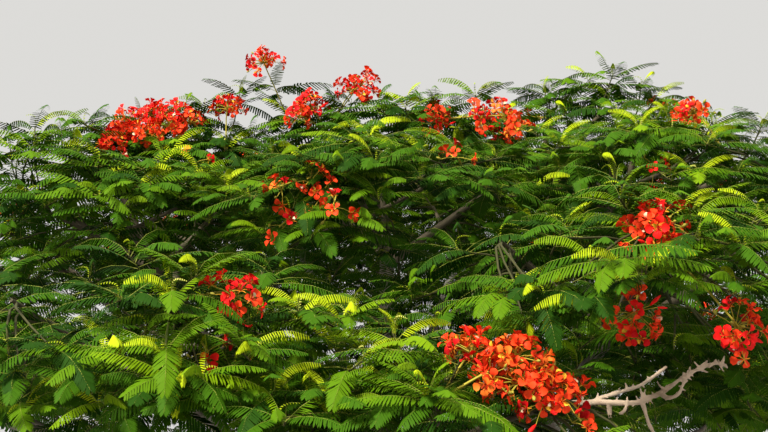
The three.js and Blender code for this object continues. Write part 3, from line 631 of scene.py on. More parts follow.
def set_borders(mass, masses):
    """Flat borders to each other mass: normals that point inwards, and their offsets."""
    normals, offsets = [], []
    for other in masses:
        if other is not mass:
            normal = dome_units(2 * (dome_units(mass.centre) - dome_units(other.centre)))
            own, its = (dome_units(one.centre).length_squared - one.scale**2 for one in (mass, other))
            normals.append(normal / normal.length)
            offsets.append((own - its) / normal.length)
    mass.normals = np.array(normals)
    mass.offsets = np.array(offsets)


def inside_borders(mass, point, margin):
    return bool((mass.normals @ np.array(point) - mass.offsets >= margin).all())


def inside_space(mass, point, margin, dome=1.0):
    return dome_units(point - mass.centre).length <= mass.scale * dome and inside_borders(mass, point, margin)


def drawn_in(mass, point, margin):
    """A point brought back towards a mass's middle until it is inside the space."""
    share = 1.0
    while share > LEAST_SHARE:
        moved = mass.centre.lerp(point, share)
        if inside_space(mass, moved, margin):
            return moved
        share -= SHARE_STEP
    return None


# Limbs: lines, radii and the stretches that twigs keep clear of


def trunk_line(t):
    bow = -TRUNK_BOW * math.sin(math.pi * max(t, 0))
    return Vector((TRUNK_LEAN * t * t, bow, TRUNK_HEIGHT * t))


def trunk_radius(height, turn):
    """The trunk's radius at a height, with its flare, buttresses and the swelling at the fork."""
    height = max(height, 0)
    flare = FLARE_SPREAD * math.exp(-height / FLARE_HEIGHT)
    swell = FORK_SWELL * math.exp(-(((height - FORK_HEIGHT) / FLARE_HEIGHT) ** 2))
    taper = 1 - TRUNK_TAPER * height / TRUNK_HEIGHT
    left = max(TRUNK_HEIGHT - height, 0)
    rounding = math.sqrt(1 - (1 - left / HEAD_ROUNDING) ** 2) if left < HEAD_ROUNDING else 1
    wave = math.cos(BUTTRESSES * turn + math.radians(BUTTRESS_TURN))
    lobe = BUTTRESS_DEPTH * math.exp(-height / BUTTRESS_HEIGHT) * wave
    return (TRUNK_RADIUS * taper + flare + swell) * (1 + lobe) * max(rounding, HEAD_FLAT)


def bezier(points, t):
    a, b, c, d = points
    s = 1 - t
    return a * s**3 + b * (3 * s * s * t) + c * (3 * s * t * t) + d * t**3


def lay_out_limbs(masses):
    """Each mass's limb, from the trunk or from another limb to just before the mass's hub."""
    by_name = {mass.name: mass for mass in masses}
    random = seeded(LIMB_SEED)
    limbs = {}
    for name, (carrier, at, leaves, arrives) in LIMB_PLAN.items():
        mass = by_name[name]
        arriving = slope(mass.turn, arrives)
        hub = mass.centre - UP * HUB_DROP * mass.up - heading(mass.turn) * HUB_INSET * mass.across
        end = hub - arriving * STEM_LENGTH
        parent = limbs.get(carrier)
        foot_height = LEADER_FOOT_HEIGHT if name == LEADER else BOUGH_FOOT_HEIGHT
        start = parent.line(at) if parent else trunk_line(foot_height / TRUNK_HEIGHT)
        across = end - start
        reach = across.length
        turn_out = math.degrees(math.atan2(across.y, across.x))
        sway = BOUGH_SWAY * (2 * random() - 1)
        side = UP.cross(across).normalized()
        first = start + slope(turn_out, leaves) * LINE_REACH * reach + side * sway * reach
        second = end - arriving * LINE_REACH * reach
        foot_radius = parent.radius(at) * BRANCH_FOOT_SHARE if parent else BOUGH_FOOT_RADIUS
        limbs[name] = make_limb([start, first, second, end], foot_radius, BOUGH_TIP_RADIUS * mass.scale)
        mass.limb = limbs[name]
        mass.arriving = (end - second).normalized()
        mass.foot = end
        mass.hub = end + mass.arriving * (STEM_LENGTH - STEM_BACK)
    return limbs


def make_limb(points, foot_radius, tip_radius):
    def line(t):
        return bezier(points, t)

    def radius(t):
        return within((foot_radius, tip_radius), t**TAPER_POWER)

    steps = even_steps(LIMB_SAMPLES)
    stretches = [(line(t), line(u), radius(t)) for t, u in zip(steps, steps[1:])]
    return SimpleNamespace(line=line, radius=radius, stretches=stretches)


def smooth_line(points, t):
    """A point on a smooth line through all the given points."""
    last = len(points) - 1
    place = min(t * last, last - 1e-6)
    i = int(place)
    s = place - i
    a, b, c, d = (points[min(max(i + k, 0), last)] for k in (-1, 0, 1, 2))
    bend = (2 * a - 5 * b + 4 * c - d) * s * s + (3 * b - a - 3 * c + d) * s**3
    return b + 0.5 * ((c - a) * s + bend)


class Stretches:
    """Straight stretches with a thickness, which twigs and leaves keep clear of."""

    def __init__(self, stretches):
        self.starts = np.array([a for a, _, _ in stretches])
        self.ways = np.array([b - a for a, b, _ in stretches])
        self.radii = np.array([radius for _, _, radius in stretches])

    def are_clear(self, a, b, radius):
        way = np.array(b - a)
        apart = np.array(a) - self.starts
        own = way @ way
        theirs = (self.ways**2).sum(1)
        both = self.ways @ way
        c = apart @ way
        f = (apart * self.ways).sum(1)
        wide = own * theirs - both * both
        s = np.where(wide > PARALLEL, (both * f - c * theirs) / np.maximum(wide, PARALLEL), 0).clip(0, 1)
        t = (both * s + f) / theirs
        cut = t.clip(0, 1)
        s = np.where(t == cut, s, ((both * cut - c) / own).clip(0, 1))
        gaps = np.array(a) + s[:, None] * way - self.starts - cut[:, None] * self.ways
        return bool((np.sqrt((gaps**2).sum(1)) > self.radii + radius + LIMB_CLEAR).all())


# Twigs, by the rule of the solids


def outwards(mass, point):
    """The way out of a mass's dome at a point."""
    way = point - mass.centre
    way.z += OUT_FROM_BELOW * mass.up
    return Vector((way.x / DOME_ACROSS**2, way.y / DOME_ACROSS**2, way.z / DOME_UP**2)).normalized()


def dome_point(mass, turn, reach, shell):
    rise = math.sqrt(max(1 - reach * reach, 0))
    return mass.centre + heading(turn) * mass.across * reach + UP * mass.up * rise * shell


def grow_twigs(mass, first_turn):
    """Main twigs fan out from the stem, one to the top, and each of the rest carries a side twig."""
    twigs = []

    def try_twig(start, aim, radius):
        end = drawn_in(mass, aim, TWIG_BORDER)
        if end is None or (end - start).length < TWIG_LEAST:
            return None
        clear_of_hub = start.lerp(end, 2 * MAIN_RADIUS / (end - start).length)
        if not mass.obstacles.are_clear(clear_of_hub, end, radius):
            return None
        twigs.append(SimpleNamespace(start=start, end=end, radius=radius))
        return end

    try_twig(mass.hub, dome_point(mass, first_turn, TOP_REACH, TOP_SHELL), MAIN_RADIUS)
    for i in range(MAIN_TWIGS):
        turn = first_turn + 360 * i / MAIN_TWIGS
        tip = try_twig(mass.hub, dome_point(mass, turn, MAIN_REACH, MAIN_SHELL), MAIN_RADIUS)
        if tip is not None:
            foot = mass.hub.lerp(tip, SIDE_FROM)
            try_twig(foot, dome_point(mass, turn + SIDE_TURN, SIDE_REACH, MAIN_SHELL), SIDE_RADIUS)
    return twigs


def frame_facing(way):
    """Two directions across a way, turned to it from the level the shortest way round."""
    turned = UP.rotation_difference(way)
    return SimpleNamespace(facing=way, ahead=turned @ heading(0), across=turned @ heading(90))


def spoke(face, turn):
    level, side = radians_way(turn)
    return face.ahead * level + face.across * side


def make_head(mass, hub, fullness, tone):
    """A blossom head on a stalk from the end of the nearest twig."""
    feet = (twig.start.lerp(twig.end, HEAD_FOOT_AT) for twig in mass.twigs)
    foot = min(feet, key=lambda place: (place - hub).length)
    face = frame_facing((outwards(mass, hub) + (hub - foot).normalized()).normalized())
    return SimpleNamespace(hub=hub, foot=foot, face=face, fullness=fullness, tone=tone)


def grow_heads(mass, random):
    """The blossom heads of the solids, then the ones that fill out the clusters between them."""
    heads = []
    known = HEADS.get(mass.name)
    for i in range(len(known) if known else HEAD_TRIES):
        if not known and len(heads) == SEEDED_HEADS:
            break
        reach = within(HEAD_REACH_RANGE, random())
        place = (360 * random(), reach, HEAD_SHELL * math.sqrt(1 - reach * reach))
        look = (FEWER_FLOWERS.get(mass.name, FLOWERS_IN_HEAD), reach)
        turn, reach, up, *look = known[i] if known else (*place, *look)
        hub = mass.centre + UP * up * mass.up + heading(turn) * reach * mass.across
        head = make_head(mass, hub, *look)
        rim = [hub + spoke(head.face, 360 * k / HEAD_POINTS) * HEAD_RADIUS for k in range(HEAD_POINTS)]
        apart = known or all((other.hub - hub).length > HEADS_APART for other in heads)
        inside = all(inside_borders(mass, point - head.face.facing * HEAD_DIP, HEAD_BORDER) for point in rim)
        if apart and inside and mass.obstacles.are_clear(head.foot, hub, HEAD_HUB):
            heads.append(head)
    return heads + [make_head(mass, Vector(row[:3]), *row[3:]) for row in MORE_HEADS.get(mass.name, ())]


class Sights:
    """Places that few leaves hang in front of, as seen from one eye: each with a radius and a share."""

    def __init__(self, places, eye):
        self.eye = eye
        self.ways = np.array([place - eye for place, _, _ in places])
        self.reaches = np.linalg.norm(self.ways, axis=1)
        self.ways /= self.reaches[:, None]
        self.radii = np.array([radius for _, radius, _ in places])
        self.shares = np.array([share for _, _, share in places])

    def are_hidden_by(self, point, dice):
        way = np.array(point - self.eye)
        along = self.ways @ way
        aside = np.sqrt(np.maximum(way @ way - along**2, 0))
        hides = (along < self.reaches) & (aside < self.radii * along / self.reaches) & (dice < self.shares)
        return bool(hides.any())


# Finer twigs and leaves


def has_room(mass, end):
    return mass.obstacles.are_clear(end, end - UP * SPRAY_DEPTH, LEAF_GIRTH)


def make_shoot(points, way, freshness, tone, known=False, on_limb=False):
    return SimpleNamespace(
        points=points, end=points[-1], way=way, freshness=freshness, tone=tone, known=known, on_limb=on_limb
    )


def shoot_to(mass, end, freshness, tone, known=False):
    """A shoot that leaves the nearest twig along it and bends to its end."""
    foot, along = nearest_on_twigs(mass.twigs, end)
    way = (end - foot).normalized()
    bend = foot + (along * BEND_ALONG + way * BEND_OUT) * (end - foot).length * BEND_AT
    return make_shoot([foot, bend, end], (end - bend).normalized(), freshness, tone, known)


def nearest_on_twigs(twigs, point):
    """Where a shoot springs from: a little back from the nearest point of the nearest twig."""
    places = []
    for twig in twigs:
        along = twig.end - twig.start
        share = (point - twig.start).dot(along) / along.length_squared
        foot = twig.start + along * min(max(share - SHOOT_BACK, SHOOT_AT_RANGE[0]), SHOOT_AT_RANGE[1])
        places.append((foot, along.normalized()))
    return min(places, key=lambda place: (point - place[0]).length)


def grow_shoots(mass, random):
    """Shoots that carry the twigs on, each to a rosette under the dome's skin, in a hollow or on the limb."""
    count = NEAR_ROSETTES if mass.name in NEAR_MASSES else ROSETTES
    first_turn = 360 * random()
    known = KNOWN_SPRAYS.get(mass.name, ())
    shoots = [shoot_to(mass, Vector(place), freshness, 1, known=True) for *place, freshness in known]
    for k in range(count):
        rise = within(ROSETTE_HEIGHTS, (k + 0.5) / count)
        shell = within(ROSETTE_SHELL_RANGE, math.sqrt(random()))
        across = heading(first_turn + GOLDEN_TURN * k) * math.sqrt(1 - rise * rise) * mass.across
        end = drawn_in(mass, mass.centre + (across + UP * rise * mass.up) * shell, ROSETTE_BORDER)
        if end is not None and has_room(mass, end):
            # Lower rosettes get a lower tone and so darker tints: older leaves and painted shade
            tone = within((SHADED_TONE, 1), 0.5 + 0.5 * rise)
            shoots.append(shoot_to(mass, end, COMMON_FRESHNESS * random() * 2 * tone, tone))
    # Sprays in hollows get a middle tone and sprays on the limbs the lowest: darker tints as painted shade
    for k in range(HOLLOW_SHOOTS):
        reach = within(HOLLOW_REACH_RANGE, random()) * mass.across
        way = heading(mass.turn + 360 * (k + random()) / HOLLOW_SHOOTS)
        end = mass.centre + way * reach + UP * within(HOLLOW_RISE_RANGE, random()) * mass.up
        if in_hollow(mass, end, ROSETTE_BORDER) and has_room(mass, end):
            shoots.append(shoot_to(mass, end, COMMON_FRESHNESS * random(), within((SHADED_TONE, 1), 0.5)))
    for _ in range(0 if mass.name.startswith("crest") else LIMB_SHOOTS):
        foot = mass.limb.line(within(LIMB_SHOOT_RANGE, random()))
        way = slope(360 * random(), within(LIMB_SHOOT_RISE_RANGE, random()))
        end = foot + way * within(LIMB_SHOOT_LENGTH_RANGE, random())
        if has_room(mass, end):
            bend = foot.lerp(end, 0.5) - UP * LIMB_SHOOT_SAG
            shoots.append(make_shoot([foot, bend, end], way, 0, SHADED_TONE, on_limb=True))
    return shoots


def out_of_recesses(shoots, recesses, random):
    """The shoots that are left where the crown has recesses; those that hang in front of one get painted
    shade.
    """
    left = [shoot for shoot in shoots if not recesses.are_hidden_by(shoot.end, random())]
    for shoot in left:
        if recesses.are_hidden_by(shoot.end, 0):
            # Painted shade: the darkest leaf tints, and no fresh ones
            shoot.tone = shoot.freshness = 0
    return left


def in_hollow(mass, point, margin):
    """Whether a point is in the hollow between domes, on the side of a far mass where the crown goes on."""
    if mass.name in NEAR_MASSES or abs(point.z - mass.centre.z) > mass.up:
        return False
    out = HOLLOW_OUT.get(mass.name.split("_")[0])
    level = math.hypot(point.x, point.y) < math.hypot(mass.centre.x, mass.centre.y) + out
    return level and inside_space(mass, point, margin, HOLLOW_DOME)


def grow_rosette(mass, shoot, sights, random, youngest=0, count=LEAVES_IN_ROSETTE):
    """Leaves round a shoot's tip, and how many. Each gets a place, a turn, a size, a shape and a tint."""
    before = len(mass.leaves)
    face = frame_facing((outwards(mass, shoot.end) + UP * FACING_UP + shoot.way * FACING_WAY).normalized())
    first_turn = 360 * random()
    tone = random() * shoot.tone
    near = mass.name in NEAR_MASSES and not shoot.on_limb
    dome = max(dome_units(shoot.end - mass.centre).length / mass.scale + OUT_OF_DOME, LEAF_DOME)
    for k in range(count):
        age = within((youngest, 1), k / (count - 1))
        turn = first_turn + GOLDEN_TURN * k + spread(TURN_SPREAD, random)
        lift = within(LIFT_RANGE, age**LIFT_POWER) + spread(LIFT_SPREAD, random)
        size = within(LEAF_SIZE_RANGE, age**SIZE_POWER) * more_than(*SIZE_CHANCE, random())
        size *= FAR_SIDE_SIZE if mass.centre.y > 0 else 1
        roll = spread(ROLL_SPREAD, random)
        dice = random()
        tint_dice = random()
        foot = shoot.end - shoot.way * LEAF_FOOT_BACK * age
        for more_turn, more_lift, share in LEAF_TRIES:
            out = spoke(face, turn + more_turn)
            level, up = radians_way(lift + more_lift)
            way = out * level + face.facing * up
            top = face.facing * level - out * up
            reach = LEAF_REACH * size * share
            tip = foot + way * reach - UP * TIP_DROP * reach
            middle = foot + way * 0.5 * reach
            room = inside_space(mass, tip, LEAF_BORDER, dome if shoot.known or up > STEEP else LEAF_DOME)
            if not room and not shoot.on_limb and not in_hollow(mass, tip, LEAF_BORDER):
                continue
            if not mass.obstacles.are_clear(middle, tip, LEAF_GIRTH):
                continue
            samples = [foot.lerp(tip, at) for at in LEAF_SAMPLES]
            if any(view.are_hidden_by(sample, dice) for view in sights for sample in samples):
                continue
            top.rotate(Quaternion(way, math.radians(roll)))
            tint = leaf_tint(age, shoot.freshness, tone, tint_dice)
            shape = leaf_shape(near, age, tint, dice)
            mass.leaves.append((foot, turned_to(way, top), size * share, shape, tint))
            break
    return len(mass.leaves) - before


def turned_to(way, top):
    """Euler turns that take +X to a way and +Z to a top."""
    across = top.cross(way).normalized()
    return Matrix((way, across, way.cross(across))).transposed().to_euler()


def leaf_shape(near, age, tint, dice):
    """Which of the leaf shapes: hooks in the middle, hanging young ones round them, then grown ones."""
    kinds = YOUNG if age < YOUNG_AGE or tint >= FRESH_TINT else GROWN
    kind = HOOK if age < HOOK_AGE else kinds[int(dice * len(kinds))]
    return kind if near else len(SHAPES) + kind


def leaf_tint(age, freshness, tone, dice):
    """Which of the leaf tints: yellow-green when young, darker with age, and darker on sprays with painted
    shade.
    """
    if age < HOOK_AGE:
        return FRESH_TINT + 1 if freshness > 0.5 else FRESH_TINT
    if age < freshness * FRESHER:
        return FRESH_TINT if age < freshness * FRESHEST else FRESH_TINT - 1
    shade = (1 - age) * AGE_TINTS + tone * TONE_TINTS + dice * CHANCE_TINTS
    return min(int(shade), FRESH_TINT - 1)


# Meshes in plain code


def in_scene(name, data):
    """A new object for a mesh, curve, light or camera."""
    made = bpy.data.objects.new(name, data)
    bpy.context.scene.collection.objects.link(made)
    return made


def mesh_object(name, vertices, faces, materials=(), smooth=False):
    mesh = bpy.data.meshes.new(name)
    mesh.from_pydata([tuple(v) for v in vertices], [], faces)
    for material in materials:
        mesh.materials.append(material)
    mesh.polygons.foreach_set("use_smooth", [smooth] * len(mesh.polygons))
    return in_scene(name, mesh)


def rework(piece, change):
    """Change a piece's mesh as a bmesh."""
    work = bmesh.new()
    work.from_mesh(piece.data)
    change(work)
    work.to_mesh(piece.data)
    work.free()


def tube(points, radius_at, sides, vertices, faces):
    """Add a closed tube through points to lists of vertices and faces."""
    first = len(vertices)
    last = len(points) - 1
    along = (points[1] - points[0]).normalized()
    flat = (UP.cross(along) if abs(along.z) < NEARLY_UPRIGHT else Vector((1, 0, 0))).normalized()
    for i, point in enumerate(points):
        way = (points[min(i + 1, last)] - points[max(i - 1, 0)]).normalized()
        flat = (flat - way * flat.dot(way)).normalized()
        across = way.cross(flat)
        for k in range(sides):
            turn = math.tau * k / sides
            vertices.append(point + (flat * math.cos(turn) + across * math.sin(turn)) * radius_at(i, turn))
    for i in range(last):
        for k in range(sides):
            a, b = first + i * sides + k, first + i * sides + (k + 1) % sides
            faces.append((a, b, b + sides, a + sides))
    faces.append(tuple(first + k for k in reversed(range(sides))))
    faces.append(tuple(first + last * sides + k for k in range(sides)))


def grown_together(name, vertices, faces, voxel):
    """Tubes that run into each other, as one skin."""
    rough = mesh_object(name, vertices, faces)
    remesh = rough.modifiers.new("grown together", "REMESH")
    remesh.mode = "VOXEL"
    remesh.voxel_size = voxel
    remesh.use_smooth_shade = True
    return rough


# Geometry Nodes


def node(tree, kind, links=None, output=0, **settings):
    """Add one node and give one of its outputs. links are its inputs: other outputs, or values."""
    made = tree.nodes.new(kind)
    for name, value in settings.items():
        setattr(made, name, value)
    for key, value in (links or {}).items():
        for one in value if isinstance(value, list) else [value]:
            if isinstance(one, bpy.types.NodeSocket):
                tree.links.new(one, made.inputs[key])
            else:
                made.inputs[key].default_value = one
    return made.outputs[output]


class Tree:
    """A Geometry Nodes tree, with named inputs of each kind after its geometry."""

    def __init__(self, name, **kinds):
        self.group = bpy.data.node_groups.new(name, "GeometryNodeTree")
        for way in ("INPUT", "OUTPUT"):
            self.group.interface.new_socket("Geometry", in_out=way, socket_type="NodeSocketGeometry")
        for kind, labels in kinds.items():
            for label in labels.split(", "):
                self.group.interface.new_socket(label, in_out="INPUT", socket_type="NodeSocket" + kind)
        self.given = self.group.nodes.new("NodeGroupInput").outputs

    def add(self, kind, links=None, **settings):
        return node(self.group, kind, links, **settings)

    def maths(self, operation, *values):
        return self.add("ShaderNodeMath", dict(enumerate(values)), operation=operation)

    def said(self, name, kind="FLOAT"):
        return self.add("GeometryNodeInputNamedAttribute", {"Name": name}, data_type=kind)

    def coated(self, geometry, material):
        return self.add("GeometryNodeSetMaterial", {"Geometry": geometry, "Material": self.given[material]})

    def realized(self, geometry):
        return self.add("GeometryNodeRealizeInstances", {"Geometry": geometry})

    def end(self, geometry):
        self.group.links.new(geometry, self.group.nodes.new("NodeGroupOutput").inputs["Geometry"])
        return self.group


def made_by(group, base, name, **values):
    """The plain mesh object that a tree makes of a base object, which is removed."""
    modifier = base.modifiers.new(group.name, "NODES")
    modifier.node_group = group
    for item in group.interface.items_tree:
        key = item.name.replace(" ", "_")
        if item.in_out == "INPUT" and key in values:
            modifier[item.identifier] = values[key]
    depsgraph = bpy.context.evaluated_depsgraph_get()
    mesh = bpy.data.meshes.new_from_object(base.evaluated_get(depsgraph), depsgraph=depsgraph)
    base.modifiers.remove(modifier)
    bpy.data.objects.remove(base)
    mesh.name = name
    return in_scene(name, mesh)


def leaf_tree():
    """A feathery leaf that grows along +X: pairs of pinnae along an arching stalk."""
    tree = Tree(
        "feathery leaf",
        Vector="First Handle, Last Handle, Tip",
        Int="Stalk Points, Pairs, Seed",
        Float="Stalk Radius, Bare Share, Pinna Length, Pinna Width, Base Angle, Tip Angle, Hang, Looseness",
        Object="Pinna",
        Material="Stalk Material, Blade Material",
    )
    add, maths, given = tree.add, tree.maths, tree.given
    handles = {"Start Handle": given["First Handle"], "End Handle": given["Last Handle"]}
    ends = {"Start": (0, 0, 0), "End": given["Tip"], "Resolution": ARCH_STEPS}
    line = add("GeometryNodeCurvePrimitiveBezierSegment", handles | ends)
    along = add("GeometryNodeSplineParameter")
    stalk_line = add("GeometryNodeResampleCurve", {"Curve": line, "Count": given["Stalk Points"]})
    thinning = add("ShaderNodeMapRange", {"Value": along, "To Min": 1.0, "To Max": STALK_TIP_SHARE})
    thickness = maths("MULTIPLY", thinning, given["Stalk Radius"])
    ring = add("GeometryNodeCurvePrimitiveCircle", {"Resolution": 3, "Radius": 1.0})
    stalk = add("GeometryNodeCurveToMesh", {"Curve": stalk_line, "Profile Curve": ring, "Scale": thickness})
    keeps = {"Geometry": tree.coated(stalk, "Stalk Material"), "Name": "keeps_material", "Value": 1.0}
    stalk = add("GeometryNodeStoreNamedAttribute", keeps, data_type="FLOAT", domain="FACE")
    bearing = add("GeometryNodeTrimCurve", {"Curve": line, 2: given["Bare Share"], 3: LAST_PAIR_AT})
    beads = add("GeometryNodeResampleCurve", {"Curve": bearing, "Count": given["Pairs"]})
    axes = {"Primary Axis": add("GeometryNodeInputTangent"), "Secondary Axis": (0, 0, 1)}
    upright = add("FunctionNodeAxesToRotation", axes, primary_axis="X", secondary_axis="Z")
    angles = {"To Min": given["Base Angle"], "To Max": given["Tip Angle"]}
    angle = add("ShaderNodeMapRange", {"Value": along} | angles)
    from_widest = maths("ABSOLUTE", maths("MULTIPLY_ADD", along, 2.0, -2 * WIDEST_AT))
    outline = maths("MULTIPLY_ADD", maths("POWER", from_widest, OUTLINE_POWER), -OUTLINE_DEPTH, 1.0)
    length = maths("MULTIPLY", outline, given["Pinna Length"])
    size = add("ShaderNodeCombineXYZ", {"X": length, "Y": given["Pinna Width"], "Z": length})
    pinna = add("GeometryNodeObjectInfo", {"Object": given["Pinna"]}, output=4)
    least = maths("MULTIPLY", given["Looseness"], -1.0)

    def loose(value, seed):
        jitter = {2: least, 3: given["Looseness"], 8: maths("ADD", given["Seed"], float(seed))}
        return maths("ADD", value, add("FunctionNodeRandomValue", jitter, output=1, data_type="FLOAT"))

    parts = [stalk]
    for side in (1, -1):
        turn = maths("MULTIPLY", loose(angle, side), float(side))
        euler = add("ShaderNodeCombineXYZ", {"Y": loose(given["Hang"], side + HANG_SEED), "Z": turn})
        turning = {"Rotation": upright, "Rotate By": add("FunctionNodeEulerToRotation", {"Euler": euler})}
        turned = add("FunctionNodeRotateRotation", turning, rotation_space="LOCAL")
        row = {"Points": beads, "Instance": pinna, "Rotation": turned, "Scale": size}
        parts.append(tree.coated(add("GeometryNodeInstanceOnPoints", row), "Blade Material"))
    return tree.end(tree.realized(add("GeometryNodeJoinGeometry", {"Geometry": parts})))


def setting_tree(name, tints):
    """Pieces of a collection set out on points, which say each piece's shape, turn, size and tint."""
    tree = Tree(name, Collection="Pieces", Material=", ".join(f"Tint {k}" for k in range(tints)))
    add, given = tree.add, tree.given
    pieces = add("GeometryNodeCollectionInfo", {"Collection": given["Pieces"], "Separate Children": True})
    rotation = add("FunctionNodeEulerToRotation", {"Euler": tree.said("turn", "FLOAT_VECTOR")})
    picks = {"Instance": pieces, "Pick Instance": True, "Instance Index": tree.said("shape", "INT")}
    places = {"Points": given["Geometry"], "Rotation": rotation, "Scale": tree.said("size")}
    geometry = tree.realized(add("GeometryNodeInstanceOnPoints", picks | places))
    code = tree.maths("MULTIPLY_ADD", tree.said("keeps_material"), float(tints), tree.said("tint"))
    for k in range(tints):
        links = {0: code, 1: float(k), 12: TINT_TOLERANCE}
        chosen = add("FunctionNodeCompare", links, operation="EQUAL", data_type="FLOAT")
        links = {"Geometry": geometry, "Selection": chosen, "Material": given[f"Tint {k}"]}
        geometry = add("GeometryNodeSetMaterial", links)
    return tree.end(geometry)


def twig_tree():
    """Round twigs along lines, as thick as the lines say."""
    tree = Tree("twigs along lines", Int="Sides", Material="Bark")
    ring = tree.add("GeometryNodeCurvePrimitiveCircle", {"Resolution": tree.given["Sides"], "Radius": 1.0})
    links = {"Curve": tree.given["Geometry"], "Profile Curve": ring}
    links |= {"Scale": tree.said("radius"), "Fill Caps": True}
    made = tree.add("GeometryNodeSetShadeSmooth", {"Geometry": tree.add("GeometryNodeCurveToMesh", links)})
    return tree.end(tree.coated(tree.realized(made), "Bark"))


def relief_tree():
    """Relief on bark: broad swellings and fine grain along the normals."""
    tree = Tree("bark relief", Float="Swell, Swell Scale, Grain, Grain Scale", Material="Bark")
    add, maths, given = tree.add, tree.maths, tree.given
    heights = []
    for depth in ("Swell", "Grain"):
        links = {"Vector": add("GeometryNodeInputPosition"), "Scale": given[f"{depth} Scale"], "Detail": 3.0}
        noise = add("ShaderNodeTexNoise", links)
        heights.append(maths("MULTIPLY", maths("SUBTRACT", noise, 0.5), given[depth]))
    links = {0: add("GeometryNodeInputNormal"), 3: maths("ADD", *heights)}
    offset = add("ShaderNodeVectorMath", links, operation="SCALE")
    moved = add("GeometryNodeSetPosition", {"Geometry": given["Geometry"], "Offset": offset})
    return tree.end(tree.coated(tree.realized(moved), "Bark"))


# Materials


def new_material(name):
    material = bpy.data.materials.new(name)
    material.use_nodes = True
    tree = material.node_tree
    return material, tree, tree.nodes["Principled BSDF"].inputs


def plain_material(name, colour, roughness=0.55, gloss=0.2):
    """A finish whose colours have no pattern, as leaves and petals are told apart by their tints."""
    material, _, inputs = new_material(name)
    inputs["Base Color"].default_value = (*colour, 1)
    inputs["Roughness"].default_value = roughness
    inputs["Specular IOR Level"].default_value = gloss
    return material


def bark_material(name, dark, light, lichen, grain):
    """Bark with mottled colour, pale lichen patches, faint rings and fine bumps."""
    material, tree, inputs = new_material(name)
    place = node(tree, "ShaderNodeTexCoord", output=3)

    def noise(**settings):
        return node(tree, "ShaderNodeTexNoise", {"Vector": place} | settings)

    mottle = noise(Scale=5.0, Detail=6.0, Roughness=0.65)
    mottle = node(tree, "ShaderNodeMapRange", {"Value": mottle, "From Min": 0.35, "From Max": 0.65})
    base = node(tree, "ShaderNodeMix", {0: mottle, 6: (*dark, 1), 7: (*light, 1)}, output=2, data_type="RGBA")
    patches = noise(Scale=2.3, Detail=5.0, Distortion=0.6)
    band = {"Value": patches, "From Min": 0.56, "From Max": 0.66, "To Max": 0.7}
    patches = node(tree, "ShaderNodeMapRange", band)
    mixed = node(tree, "ShaderNodeMix", {0: patches, 6: base, 7: (*lichen, 1)}, output=2, data_type="RGBA")
    tree.links.new(mixed, inputs["Base Color"])
    stretched = node(tree, "ShaderNodeMapping", {"Vector": place, "Scale": (1, 1, 3.5)})
    rings = noise(Vector=stretched, Scale=grain, Detail=7.0, Roughness=0.7)
    bump = node(tree, "ShaderNodeBump", {"Height": rings, "Strength": 0.55, "Distance": 0.012})
    tree.links.new(bump, inputs["Normal"])
    inputs["Roughness"].default_value = 0.86
    return material


# Leaf tints from deep to pale: older leaves are darker and young ones yellow-green; the dark tints also give
# painted shade
LEAF_COLOURS = [
    (0.015, 0.052, 0.003),
    (0.037, 0.104, 0.003),
    (0.078, 0.168, 0.003),
    (0.140, 0.246, 0.003),
    (0.370, 0.470, 0.008),
    (0.640, 0.660, 0.140),
]
# Petal tints from red to orange, and a dark crimson that is partly painted shade
PETAL_COLOURS = [(0.920, 0.014, 0.012), (0.930, 0.056, 0.012), (0.940, 0.185, 0.022), (0.560, 0.006, 0.008)]
leaf_tints = [plain_material(f"leaf_{k}", colour, 0.6, 0.05) for k, colour in enumerate(LEAF_COLOURS)]
petal_tints = [plain_material(f"petal_{k}", colour, gloss=0.1) for k, colour in enumerate(PETAL_COLOURS)]
stalk_finish = plain_material("leaf_stalk", (0.22, 0.25, 0.035))
cream_finish = plain_material("cream_standard", (0.80, 0.66, 0.44))
yellow_finish = plain_material("yellow_standard", (0.72, 0.40, 0.02))
sepal_finish = plain_material("sepal", (0.80, 0.30, 0.025))
stamen_finish = plain_material("stamen", (0.50, 0.02, 0.01))
bud_finish = plain_material("bud", (0.34, 0.30, 0.035), gloss=0.3)
pedicel_finish = plain_material("pedicel", (0.42, 0.36, 0.04))
twig_finish = plain_material("twig", (0.110, 0.092, 0.060), roughness=0.8)
shoot_finish = plain_material("green_shoot", (0.060, 0.060, 0.022), roughness=0.65)
bark_finish = bark_material("bark", (0.105, 0.085, 0.065), (0.235, 0.205, 0.165), (0.42, 0.42, 0.36), 26.0)
dead_finish = bark_material("dead_wood", (0.42, 0.30, 0.215), (0.80, 0.61, 0.455), (0.84, 0.69, 0.54), 60.0)


# Pieces and their parts


def pinna_object(name, outline):
    """One pinna along +X, one long and one wide, that droops to its tip."""
    vertices, rows = [], []
    for x, half in outline:
        drop = -PINNA_DROOP * x * x
        sides = [(x, half, drop), (x, -half, drop)] if half else [(x, 0, drop)]
        rows.append(list(range(len(vertices), len(vertices) + len(sides))))
        vertices += sides
    faces = [tuple(dict.fromkeys((a[-1], b[-1], b[0], a[0]))) for a, b in zip(rows, rows[1:])]
    return mesh_object(name, vertices, faces)


def gathered(name, shapes):
    """A collection of its own for shapes that are set out on points."""
    collection = bpy.data.collections.new(name)
    bpy.context.scene.collection.children.link(collection)
    for shape in shapes:
        bpy.context.scene.collection.objects.unlink(shape)
        collection.objects.link(shape)
    return collection


